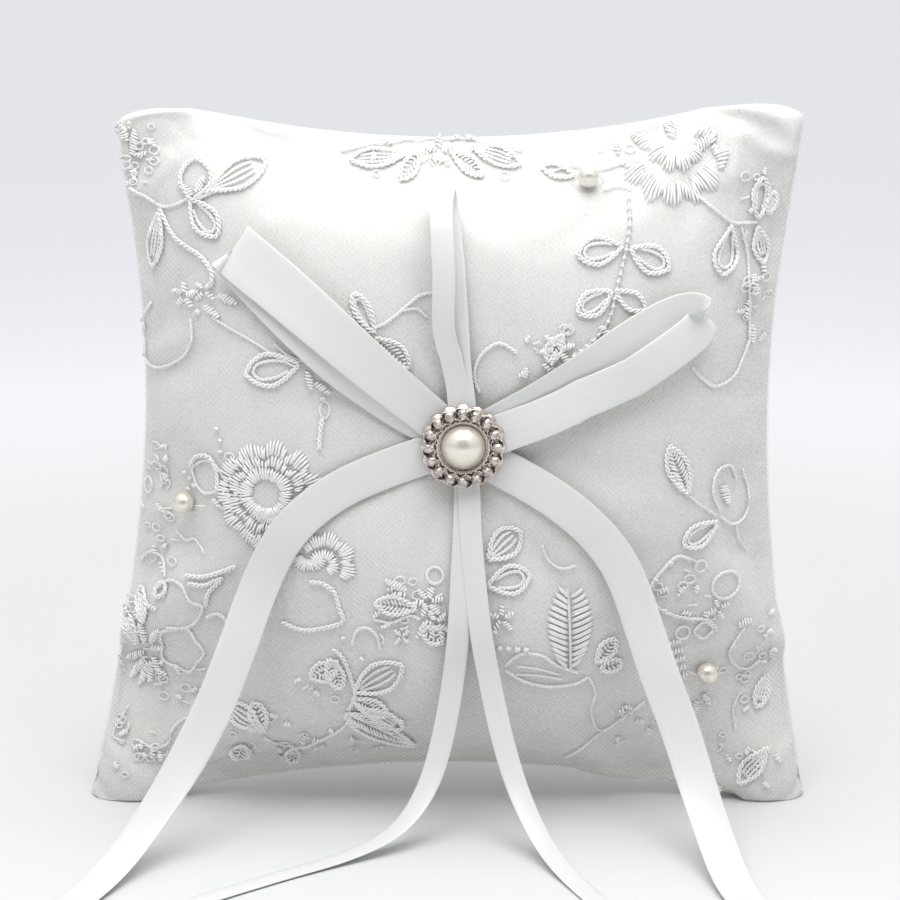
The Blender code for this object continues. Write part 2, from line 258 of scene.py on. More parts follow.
@dataclass(frozen=True)
class TwistedThread:
    """Rayon embroidery thread, spun and mercerised: whiter and silkier than the cloth that it lies on."""

    name: str = "rayon_thread_spun"
    colour: str = "#FBFBF9"
    shade: str = "#F2F1EE"
    roughness: float = 0.42
    # One turn of the ply is about 0.6 mm long.
    ply_pitch: float = 0.6 * MM

    def material(self) -> bpy.types.Material:
        """Builds the finish.

        Returns:
            The material.
        """
        material, tree, shader, place = new_material(self.name)
        ply = add_node(
            tree,
            "ShaderNodeTexWave",
            {"Scale": wave_scale(self.ply_pitch), "Distortion": 2.0},
            {"Vector": place.outputs["Object"]},
            bands_direction="DIAGONAL",
        )
        tint = add_node(
            tree,
            "ShaderNodeMix",
            {6: linear(self.shade), 7: linear(self.colour)},
            {0: ply.outputs["Fac"]},
            data_type="RGBA",
        )
        bump = add_node(
            tree, "ShaderNodeBump", {"Strength": 0.25, "Distance": 0.08 * MM}, {"Height": ply.outputs["Fac"]}
        )
        # Light passes a little way through each strand.
        through = {"Subsurface Weight": 0.3, "Subsurface Radius": (1.0, 1.0, 1.0), "Subsurface Scale": 0.3 * MM}
        plug(
            tree,
            shader,
            {"Roughness": self.roughness, "Sheen Weight": 0.35, "IOR": 1.5, **through},
            {"Base Color": tint.outputs[2], "Normal": bump.outputs["Normal"]},
        )
        return material


@dataclass(frozen=True)
class RibbonSatin:
    """Double-faced ribbon satin, loom-woven with firm selvedges: smoother than the cushion, with fine cross ribs."""

    name: str = "ribbon_satin_loomed"
    colour: str = "#E5E5E4"
    shade: str = "#DEDEDD"
    roughness: float = 0.32
    # Picks are about 0.15 mm apart. They are drawn at 0.6 mm, so that they don't vanish.
    pick_pitch: float = 0.6 * MM
    # Warp streaks are about 1 mm across and 40 mm long.
    streak_scale: tuple[float, float, float] = (900.0, 25.0, 1.0)

    def material(self) -> bpy.types.Material:
        """Builds the finish. The ribbon's map runs in metres, across and then along.

        Returns:
            The material.
        """
        material, tree, shader, place = new_material(self.name)
        picks = add_node(
            tree,
            "ShaderNodeTexWave",
            {"Scale": wave_scale(self.pick_pitch), "Distortion": 0.6, "Detail": 1.0},
            {"Vector": place.outputs["UV"]},
            bands_direction="Y",
        )
        streaks = add_node(tree, "ShaderNodeMapping", {"Scale": self.streak_scale}, {"Vector": place.outputs["UV"]})
        warp = add_node(tree, "ShaderNodeTexNoise", {"Scale": 1.0, "Detail": 2.0}, {"Vector": streaks.outputs[0]})
        tint = add_node(
            tree,
            "ShaderNodeMix",
            {6: linear(self.colour), 7: linear(self.shade)},
            {0: warp.outputs["Fac"]},
            data_type="RGBA",
        )
        fine = add_node(
            tree, "ShaderNodeBump", {"Strength": 0.12, "Distance": 0.04 * MM}, {"Height": picks.outputs["Fac"]}
        )
        long = add_node(
            tree,
            "ShaderNodeBump",
            {"Strength": 0.25, "Distance": 0.05 * MM},
            {"Height": warp.outputs["Fac"], "Normal": fine.outputs["Normal"]},
        )
        # Long floats on both faces catch the lamp like a thin varnish.
        varnish = {"Coat Weight": 0.4, "Coat Roughness": 0.3}
        plug(
            tree,
            shader,
            {"Roughness": self.roughness, "Sheen Weight": 0.10, "IOR": 1.46, **varnish},
            {"Base Color": tint.outputs[2], "Normal": long.outputs["Normal"]},
        )
        return material


@dataclass(frozen=True)
class PearlCoat:
    """Imitation pearl, an acrylic ball dipped in nacre lacquer: ivory, with a rosy rim under a hard clear gloss."""

    name: str = "acrylic_pearl_dipped"
    colour: str = "#F3EFE4"
    rim: str = "#DDD1C2"
    roughness: float = 0.24
    nacre: float = 0.5
    # Dipping leaves faint clouds about 2 mm across.
    cloud_scale: float = 450.0
    cloud_share: float = 0.12

    def material(self) -> bpy.types.Material:
        """Builds the finish.

        Returns:
            The material.
        """
        material, tree, shader, place = new_material(self.name)
        facing = add_node(tree, "ShaderNodeLayerWeight", {"Blend": 0.35})
        clouds = add_node(
            tree, "ShaderNodeTexNoise", {"Scale": self.cloud_scale, "Detail": 2.0}, {"Vector": place.outputs["Object"]}
        )
        cloudy = add_node(
            tree, "ShaderNodeMath", {1: self.cloud_share}, {0: clouds.outputs["Fac"]}, operation="MULTIPLY"
        )
        amount = add_node(
            tree,
            "ShaderNodeMath",
            links={0: facing.outputs["Facing"], 1: cloudy.outputs[0]},
            operation="ADD",
            use_clamp=True,
        )
        tint = add_node(
            tree,
            "ShaderNodeMix",
            {6: linear(self.colour), 7: linear(self.rim)},
            {0: amount.outputs[0]},
            data_type="RGBA",
        )
        # The nacre flakes mirror the room softly from under the gloss.
        nacre = {"Metallic": self.nacre, "Roughness": self.roughness, "IOR": 1.5}
        gloss = {"Coat Weight": 1.0, "Coat Roughness": 0.04}
        plug(tree, shader, {**nacre, **gloss}, {"Base Color": tint.outputs[2]})
        return material


@dataclass(frozen=True)
class RosyPlating:
    """Zinc casting, plated in a rosy silver and tumbled: bright, warm, with soft wear in its hollows."""

    name: str = "zinc_cast_rose_plated"
    colour: str = "#EEE6E0"
    hollow: str = "#CBBFB6"
    roughness: float = 0.24
    # Tumbling leaves patches about half a millimetre across.
    wear_scale: float = 1800.0

    def material(self) -> bpy.types.Material:
        """Builds the finish.

        Returns:
            The material.
        """
        material, tree, shader, place = new_material(self.name)
        worn = add_node(
            tree, "ShaderNodeTexNoise", {"Scale": self.wear_scale, "Detail": 3.0}, {"Vector": place.outputs["Object"]}
        )
        tint = add_node(
            tree,
            "ShaderNodeMix",
            {6: linear(self.colour), 7: linear(self.hollow)},
            {0: worn.outputs["Fac"]},
            data_type="RGBA",
        )
        rough = add_node(
            tree,
            "ShaderNodeMapRange",
            {"To Min": self.roughness - 0.08, "To Max": self.roughness + 0.15},
            {"Value": worn.outputs["Fac"]},
        )
        plug(tree, shader, {"Metallic": 1.0}, {"Base Color": tint.outputs[2], "Roughness": rough.outputs[0]})
        return material


@dataclass(frozen=True)
class FoiledGlass:
    """Cut glass with a foil back: smoky facets that each send back another piece of the room."""

    name: str = "glass_cut_foil_backed"
    colour: str = "#E2DCD8"
    depth: str = "#837871"
    roughness: float = 0.04
    # The foil shows as crumbs about a third of a millimetre across, drawn twice that size.
    crumb_scale: float = 1500.0

    def material(self) -> bpy.types.Material:
        """Builds the finish.

        Returns:
            The material.
        """
        material, tree, shader, place = new_material(self.name)
        crumbs = add_node(
            tree, "ShaderNodeTexVoronoi", {"Scale": self.crumb_scale}, {"Vector": place.outputs["Object"]}
        )
        tint = add_node(
            tree,
            "ShaderNodeMix",
            {6: linear(self.colour), 7: linear(self.depth)},
            {0: crumbs.outputs["Color"]},
            data_type="RGBA",
        )
        glass = {"Metallic": 0.75, "Roughness": self.roughness, "Coat Weight": 1.0, "Coat Roughness": 0.02}
        plug(tree, shader, glass, {"Base Color": tint.outputs[2]})
        return material


@dataclass(frozen=True)
class BlownFibre:
    """Polyester fibre, carded and blown in: a soft white down."""

    name: str = "polyester_fibre_carded"
    colour: str = "#F3F3F1"
    # Tufts are about 4 mm across.
    tuft_scale: float = 250.0

    def material(self) -> bpy.types.Material:
        """Builds the finish.

        Returns:
            The material.
        """
        material, tree, shader, place = new_material(self.name)
        tufts = add_node(
            tree, "ShaderNodeTexNoise", {"Scale": self.tuft_scale, "Detail": 6.0}, {"Vector": place.outputs["Object"]}
        )
        bump = add_node(
            tree, "ShaderNodeBump", {"Strength": 0.8, "Distance": 1.0 * MM}, {"Height": tufts.outputs["Fac"]}
        )
        plug(
            tree,
            shader,
            {"Base Color": linear(self.colour), "Roughness": 0.95},
            {"Normal": bump.outputs["Normal"]},
        )
        return material


@dataclass(frozen=True)
class StudioPaper:
    """Matt studio paper, rolled out, with painted shade: its colour is drawn pale grey near the middle, which holds
    down the lamp's pool of light and darkens the shade round the cushion, and it turns to a cool white far behind it.
    """

    name: str = "studio_paper_rolled"
    # Painted shade: the paper is coloured this grey near the middle, where the lamp's light pools.
    near: str = "#D7D8D8"
    far: str = "#FAFBFE"
    # Painted shade: the grey near tone, drawn where the lamp's light pools round the cushion, fades to the far one
    # between these distances from the middle, in metres.
    shade_fade_from: float = 0.2
    shade_fade_to: float = 0.7

    def material(self) -> bpy.types.Material:
        """Builds the finish.

        Returns:
            The material.
        """
        material, tree, shader, place = new_material(self.name)
        away = add_node(tree, "ShaderNodeVectorMath", links={0: place.outputs["Object"]}, operation="LENGTH")
        share = add_node(
            tree,
            "ShaderNodeMapRange",
            {"From Min": self.shade_fade_from, "From Max": self.shade_fade_to},
            {"Value": away.outputs["Value"]},
            interpolation_type="SMOOTHSTEP",
        )
        # Painted shade: grey near the middle, fading to the paper's own white further out.
        tint = add_node(
            tree,
            "ShaderNodeMix",
            {6: linear(self.near), 7: linear(self.far)},
            {0: share.outputs[0]},
            data_type="RGBA",
        )
        plug(tree, shader, {"Roughness": 0.9}, {"Base Color": tint.outputs[2]})
        return material


def add_piece(
    name: str,
    points: Sequence[Sequence[float]],
    faces: Sequence[Sequence[int]],
    material: bpy.types.Material,
    smooth: bool = True,
) -> bpy.types.Object:
    """Adds a mesh piece to the scene.

    Args:
        name: The piece's name.
        points: Its vertices, in metres.
        faces: Its faces, as numbers of vertices.
        material: Its finish.
        smooth: Whether its faces are shaded smooth.

    Returns:
        The new object.
    """
    mesh = bpy.data.meshes.new(name)
    mesh.from_pydata([tuple(p) for p in points], [], [tuple(f) for f in faces])
    mesh.validate()
    mesh.materials.append(material)
    if smooth:
        mesh.shade_smooth()
    made = bpy.data.objects.new(name, mesh)
    bpy.context.scene.collection.objects.link(made)
    LOG.info("%s: %d faces", name, len(mesh.polygons))
    return made


def cells(rows: int, columns: int) -> list[tuple[int, int, int, int]]:
    """Gives the four corner numbers of each cell of a grid whose points run along its rows.

    Args:
        rows: How many rows of points it has.
        columns: How many points each row has.

    Returns:
        The cells, row by row.
    """
    return [
        (j * columns + i, j * columns + i + 1, (j + 1) * columns + i + 1, (j + 1) * columns + i)
        for j in range(rows - 1)
        for i in range(columns - 1)
    ]


def border(rows: int, columns: int) -> list[int]:
    """Gives the numbers of a grid's border points, once round it.

    Args:
        rows: How many rows of points it has.
        columns: How many points each row has.

    Returns:
        The numbers, from the first point.
    """
    edge = list(range(columns))
    edge += [j * columns + columns - 1 for j in range(1, rows)]
    edge += [(rows - 1) * columns + i for i in range(columns - 2, -1, -1)]
    edge += [j * columns for j in range(rows - 2, 0, -1)]
    return edge


class Side(Enum):
    """The two panels of the cushion."""

    FACE = -1
    BACK = 1


@dataclass
class CushionForm:
    """The stuffed shape before its cloth settles, in the frame's terms.

    s and t run from -1 to 1 across and up the cushion.
    """

    bottom_left: Pair = (-0.103, 0.0)
    bottom_right: Pair = (0.1015, 0.0)
    top_left: Pair = (-0.0945, 0.197)
    top_right: Pair = (0.1005, 0.1985)
    half: float = 0.100
    centre_z: float = 0.100
    left_pinch: float = 0.0125
    right_pinch: float = 0.0115
    pinch_skew: float = 0.25
    top_dip: float = 0.0110
    corner_drop: float = 0.0045
    bottom_arch: float = 0.010
    foot_start: float = 0.82
    foot_middle: float = 0.90
    foot_sink: float = 0.0112
    depth: float = 0.034
    edge_power: float = 0.66
    foot_power: float = 0.35
    foot_spread: float = 0.06
    dimple_depth: float = 0.006
    dimple_radius: float = 0.026
    bow: Pair = (0.0035, 0.107)
    seam_y: float = 0.00265
    lean: float = 0.010
    corner_round: float = 0.0035
    dip_power: float = 1.5
    drop_power: int = 12
    foot_sink_power: int = 8
    top_corner_share: float = 0.7

    def outline(self, s: float, t: float) -> Pair:
        """Gives the x and z of a place on the cushion.

        Args:
            s: How far across.
            t: How far up.

        Returns:
            x and z in metres.
        """
        right = (1 + s) / 2
        top = (1 + t) / 2
        corners = (self.bottom_left, self.bottom_right, self.top_left, self.top_right)
        shares = ((1 - right) * (1 - top), right * (1 - top), (1 - right) * top, right * top)
        x = sum(share * corner[0] for share, corner in zip(shares, corners))
        z = sum(share * corner[1] for share, corner in zip(shares, corners))
        waist = (1 - t * t) * (1 + self.pinch_skew * t)
        x += ((1 - right) ** 2 * self.left_pinch - right**2 * self.right_pinch) * waist
        arch = max(0.0, 1 - (s / self.foot_start) ** 2)
        foot = max(0.0, 1 - ((abs(s) - self.foot_middle) / (1 - self.foot_middle)) ** 2)
        z += (1 - top) ** 2 * self.bottom_arch * arch - top**2 * self.top_dip * (1 - s * s) ** self.dip_power
        z -= top**2 * self.corner_drop * abs(s) ** self.drop_power
        z -= (1 - top) ** self.foot_sink_power * self.foot_sink * foot
        # The upper corners are turned and stuffed, so they end blunt.
        blunt = (max(0.0, abs(s) + t - 1.2) / 0.8) ** 5
        x -= math.copysign(self.corner_round, s) * blunt
        z -= 0.4 * self.corner_round * blunt
        return x, z

    def fullness(self, s: float, t: float) -> float:
        """Gives how far the cushion stands out from its seam plane, on either side.

        Args:
            s: How far across.
            t: How far up.

        Returns:
            Metres.
        """
        body = max((1 - s * s) * (1 - t * t), 0.0)
        corner = math.exp(-((1 - abs(s)) ** 2 + (1 + t) ** 2) / self.foot_spread)
        corner += self.top_corner_share * math.exp(-((1 - abs(s)) ** 2 + (1 - t) ** 2) / self.foot_spread)
        power = self.edge_power + (self.foot_power - self.edge_power) * corner
        return self.depth * body**power if body else 0.0

    def point(self, s: float, t: float, side: Side) -> Vector:
        """Gives a point of the surface.

        Args:
            s: How far across.
            t: How far up.
            side: The face or the back.

        Returns:
            The point in metres.
        """
        x, z = self.outline(s, t)
        out = self.fullness(s, t)
        if side is Side.FACE:
            away = (x - self.bow[0]) ** 2 + (z - self.bow[1]) ** 2
            out -= self.dimple_depth * math.exp(-away / self.dimple_radius**2) * min(1.0, out / self.dimple_depth)
        # The lower edge rests a little forward of the rest of the seam.
        seam = self.seam_y - self.lean * ((1 - t) / 2) ** 3
        return Vector((x, seam + side.value * out, max(z, 0.0)))


@dataclass
class StuffedCushion:
    """The cushion: two satin panels, the net over the face, the stuffing and the seams.

    Its cloth is simulated from the form, under the stuffing's pressure and pinned along its seam.
    """

    form: CushionForm = field(default_factory=CushionForm)
    steps: int = 72
    pressure: float = 4.0
    slack: float = -0.035
    frames: int = 20
    most_move: float = 4.5 * MM
    cloth: float = 0.4 * MM
    net_lift: float = 0.35 * MM
    tack_hold: float = 11.0 * MM
    corner_hold: float = 0.182
    hem_up: float = 6.0
    hem_wide: float = 1.6
    hem_deep: float = 0.9 * MM

    def __post_init__(self) -> None:
        """Settles the cloth and makes what the other pieces lie on."""
        self.places = [self._eased(2 * i / self.steps - 1) for i in range(self.steps + 1)]
        self.panels = {side: self._grid(side) for side in Side}
        self._settle()
        # The lower hem of the face is stitched down, which leaves a groove.
        ups = (np.array(self.places) + 1) * self.form.half / MM
        hem = self.hem_deep * np.exp(-(((ups - self.hem_up) / self.hem_wide) ** 2))
        self.panels[Side.FACE] -= self._normals(self.panels[Side.FACE], Side.FACE) * hem[:, None, None]
        self.outer = {side: self._lifted(self.panels[side], side, 0.0) for side in Side}
        self.net = self._lifted(self.panels[Side.FACE], Side.FACE, self.net_lift)
        self.tree = self._tree(self.net)

    @staticmethod
    def _eased(u: float) -> float:
        """Spaces grid lines a little closer near the seam."""
        return 0.45 * u + 0.55 * math.sin(math.pi / 2 * u)

    def _grid(self, side: Side) -> np.ndarray:
        """Gives one panel's points, as rows from the bottom up."""
        return np.array([[self.form.point(s, t, side)[:] for s in self.places] for t in self.places])

    def _settle(self) -> None:
        """Simulates the cloth of both panels and keeps its result, with each point's move capped."""
        count = self.steps + 1
        face, back = self.panels[Side.FACE], self.panels[Side.BACK]
        points = [tuple(p) for row in face for p in row]
        number = {(j, i): j * count + i for j in range(count) for i in range(count)}
        behind = dict(number)
        for j in range(1, count - 1):
            for i in range(1, count - 1):
                behind[(j, i)] = len(points)
                points.append(tuple(back[j][i]))
        faces = []
        for j in range(count - 1):
            for i in range(count - 1):
                cell = ((j, i), (j, i + 1), (j + 1, i + 1), (j + 1, i))
                faces.append([number[c] for c in cell])
                faces.append([behind[c] for c in reversed(cell)])
        mesh = bpy.data.meshes.new("cloth_blank")
        mesh.from_pydata(points, [], faces)
        blank = bpy.data.objects.new("cloth_blank", mesh)
        bpy.context.scene.collection.objects.link(blank)
        start = np.array(points)
        held = blank.vertex_groups.new(name="held")
        tack = np.hypot(start[:, 0] - self.form.bow[0], start[:, 2] - self.form.bow[1])
        for index, place in enumerate(start):
            j, i = divmod(index, count) if index < count * count else (1, 1)
            seam = index < count * count and (j in (0, count - 1) or i in (0, count - 1))
            tacked = place[1] < 0 and tack[index] < self.tack_hold
            corner = abs(place[0]) + abs(place[2] - self.form.centre_z) > self.corner_hold
            if seam or tacked or corner or place[2] < 0.2 * MM:
                held.add([index], 1.0, "REPLACE")
        moved = self._simulated(blank)
        move = moved - start
        length = np.linalg.norm(move, axis=1)
        # A soft cap: small moves stay whole, and none passes most_move.
        keep = self.most_move * np.tanh(length / self.most_move) / np.maximum(length, 1e-9)
        move *= keep[:, None]
        settled = start + move
        settled[:, 2] = np.maximum(settled[:, 2], 0.0)
        for (j, i), index in number.items():
            face[j][i] = settled[index]
        for (j, i), index in behind.items():
            back[j][i] = settled[index]
        bpy.data.objects.remove(blank)
        LOG.info("cloth settled, moving up to %.1f mm", 1000 * float(np.linalg.norm(move, axis=1).max()))

    def _simulated(self, blank: bpy.types.Object) -> np.ndarray:
        """Runs the cloth simulation.

        Args:
            blank: The closed mesh to settle.

        Returns:
            The settled points.
        """
        modifier = blank.modifiers.new("cloth", "CLOTH")
        settings = modifier.settings
        settings.quality = 6
        settings.mass = 0.15
        settings.use_pressure = True
        settings.uniform_pressure_force = self.pressure
        settings.vertex_group_mass = "held"
        settings.shrink_min = self.slack
        settings.shrink_max = self.slack
        settings.tension_stiffness = 18
        settings.compression_stiffness = 18
        settings.shear_stiffness = 6
        settings.bending_stiffness = 0.4
        settings.effector_weights.gravity = 0.0
        modifier.point_cache.frame_end = self.frames
        scene = bpy.context.scene
        for step in range(1, self.frames + 1):
            scene.frame_set(step)
        evaluated = blank.evaluated_get(bpy.context.evaluated_depsgraph_get())
        out = np.zeros(len(blank.data.vertices) * 3)
        evaluated.data.vertices.foreach_get("co", out)
        scene.frame_set(1)
        return out.reshape(-1, 3)

    @staticmethod
    def _normals(grid: np.ndarray, side: Side) -> np.ndarray:
        """Gives outward directions at a panel's points."""
        across = np.gradient(grid, axis=1)
        up = np.gradient(grid, axis=0)
        out = np.cross(across, up)
        out /= np.maximum(np.linalg.norm(out, axis=2, keepdims=True), 1e-12)
        return out if side is Side.FACE else -out

    def _lifted(self, grid: np.ndarray, side: Side, lift: float) -> np.ndarray:
        """Moves a panel's points outwards, and keeps them above the floor."""
        moved = grid + self._normals(grid, side) * lift
        moved[:, :, 2] = np.maximum(moved[:, :, 2], 0.0)
        return moved

    def _tree(self, grid: np.ndarray) -> BVHTree:
        """Makes the search tree of a panel's surface."""
        count = self.steps + 1
        return BVHTree.FromPolygons([tuple(p) for p in grid.reshape(-1, 3)], cells(count, count))

    def on_face(self, x: float, z: float, lift: float = 0.0) -> tuple[Vector, Vector]:
        """Finds a place on the net over the face.

        Args:
            x: Across, in millimetres.
            z: Up, in millimetres.
            lift: How far in front of the net, in millimetres.

        Returns:
            The point in metres, and the direction out of the cloth there.
        """
        origin = Vector((x * MM, -0.2, z * MM))
        hit, normal, _, _ = self.tree.ray_cast(origin, Vector((0, 1, 0)))
        if hit is None:
            hit, normal, _, _ = self.tree.find_nearest(Vector((x * MM, 0, z * MM)))
        if normal.y > 0:
            normal = -normal
        return hit + normal * (lift * MM), normal

    def _shell(self, name: str, grid: np.ndarray, side: Side, thick: float, material: Any) -> Any:
        """Makes a closed thin shell whose outer surface is a panel."""
        count = self.steps + 1
        inner = grid - self._normals(grid, side) * thick
        inner[:, :, 2] = np.maximum(inner[:, :, 2], thick * 0.5)
        points = np.concatenate([grid.reshape(-1, 3), inner.reshape(-1, 3)])
        shift = count * count
        faces: list[tuple[int, ...]] = []
        for cell in cells(count, count):
            facing = cell[::-1] if side is Side.BACK else cell
            faces.append(facing)
            faces.append(tuple(c + shift for c in reversed(facing)))
        edge = border(count, count)
        for first, second in zip(edge, edge[1:] + edge[:1]):
            band = (second, first, first + shift, second + shift)
            faces.append(band if side is Side.FACE else band[::-1])
        made = add_piece(name, points, faces, material)
        smooth = made.modifiers.new("smooth", "SUBSURF")
        smooth.levels = smooth.render_levels = 1
        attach(made, CUSHION)
        return made

    def build(self) -> None:
        """Makes the panels, the net and the stuffing."""
        satin = WovenSatin().material()
        face = self._shell("face_satin", self.outer[Side.FACE], Side.FACE, self.cloth, satin)
        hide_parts("front_satin_panel")
        back = self._shell("back_satin", self.outer[Side.BACK], Side.BACK, self.cloth, satin)
        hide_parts("back_satin_panel")
        net = self._shell("tulle_net", self.net, Side.FACE, 0.12 * MM, KnottedNet().material())
        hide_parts("lace_overlay")
        self._fill()

    def _fill(self) -> None:
        """Makes the stuffing inside the panels."""
        every = 4
        inset = 1.6 * MM
        fronts = self.outer[Side.FACE] - self._normals(self.outer[Side.FACE], Side.FACE) * inset
        backs = self.outer[Side.BACK] - self._normals(self.outer[Side.BACK], Side.BACK) * inset
        sides = [fronts[every:-every:every, every:-every:every], backs[every:-every:every, every:-every:every]]
        rows, columns = sides[0].shape[:2]
        for grid in sides:
            grid[:, :, 2] = np.maximum(grid[:, :, 2], inset)
        points = np.concatenate([grid.reshape(-1, 3) for grid in sides])
        shift = rows * columns
        faces: list[tuple[int, ...]] = []
        for cell in cells(rows, columns):
            faces.append(cell)
            faces.append(tuple(c + shift for c in reversed(cell)))
        edge = border(rows, columns)
        for first, second in zip(edge, edge[1:] + edge[:1]):
            faces.append((second, first, first + shift, second + shift))
        made = add_piece("stuffing", points, faces, BlownFibre().material())
        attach(made, CUSHION)
        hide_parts("fibre_fill")


@dataclass
class Strands:
    """Thread laid down as tubes: it gathers them into one mesh."""

    sides: int = 5
    points: list[tuple[float, ...]] = field(default_factory=list)
    faces: list[tuple[int, ...]] = field(default_factory=list)

    def tube(
        self,
        route: Sequence[Vector],
        outs: Sequence[Vector],
        wide: float,
        high: float,
        closed: bool = False,
    ) -> None:
        """Adds one tube.

        Args:
            route: Its centreline.
            outs: The direction out of the cloth at each point.
            wide: Half its width along the cloth.
            high: Half its height.
            closed: Whether its end meets its start.
        """
        last = len(route) - 1
        rings = []
        for i, (place, out) in enumerate(zip(route, outs)):
            if closed:
                along = route[(i + 1) % (last + 1)] - route[i - 1]
            else:
                along = route[min(i + 1, last)] - route[max(i - 1, 0)]
            side = along.cross(out)
            if side.length < 1e-12:
                side = Vector((1, 0, 0))
            side.normalize()
            lift = side.cross(along).normalized()
            small = 0.45 if not closed and i in (0, last) else 1.0
            ring = []
            for k in range(self.sides):
                angle = 2 * math.pi * k / self.sides
                spot = place + side * (math.cos(angle) * wide * small) + lift * (math.sin(angle) * high * small)
                ring.append(len(self.points))
                self.points.append(spot[:])
            rings.append(ring)
        pairs = list(zip(rings, rings[1:])) + ([(rings[-1], rings[0])] if closed else [])
        for first, second in pairs:
            for k in range(self.sides):
                after = (k + 1) % self.sides
                self.faces.append((first[k], first[after], second[after], second[k]))
        if not closed:
            self.faces.append(tuple(reversed(rings[0])))
            self.faces.append(tuple(rings[-1]))


def rounded(points: Sequence[Sequence[float]], closed: bool = False, spans: int = 8) -> list[tuple[float, ...]]:
    """Draws a smooth line through points.

    Args:
        points: The points, in millimetres.
        closed: Whether the line comes back to its start.
        spans: Steps between two points.

    Returns:
        The points of the line.
    """
    line: list[tuple[float, ...]] = []
    count = len(points)
    for i in range(count if closed else count - 1):
        if closed:
            four = [points[(i + k) % count] for k in (-1, 0, 1, 2)]
        else:
            four = [points[min(max(i + k, 0), count - 1)] for k in (-1, 0, 1, 2)]
        for step in range(spans):
            u = step / spans
            spot = []
            for axis in range(len(four[0])):
                a, b, c, d = (p[axis] for p in four)
                bend = 2 * a - 5 * b + 4 * c - d
                spot.append(b + 0.5 * (u * (c - a) + u * u * bend + u**3 * (3 * (b - c) + d - a)))
            line.append(tuple(spot))
    if not closed:
        line.append(tuple(points[-1]))
    return line


def spaced(line: Sequence[Sequence[float]], gap: float) -> list[tuple[float, ...]]:
    """Takes places at an even distance along a line.

    Args:
        line: The line's points.
        gap: The distance.

    Returns:
        The places, both ends among them.
    """
    xs = np.array(line, float)
    run = np.concatenate([[0.0], np.cumsum(np.linalg.norm(np.diff(xs, axis=0), axis=1))])
    count = max(2, int(round(run[-1] / gap)) + 1)
    wanted = np.linspace(0, run[-1], count)
    return list(zip(*(np.interp(wanted, run, column) for column in xs.T)))


class Inside(Enum):
    """What fills a corded leaf."""

    NOTHING = "nothing"
    DOUBLE = "double"
    LINES = "lines"
    VEINS = "veins"


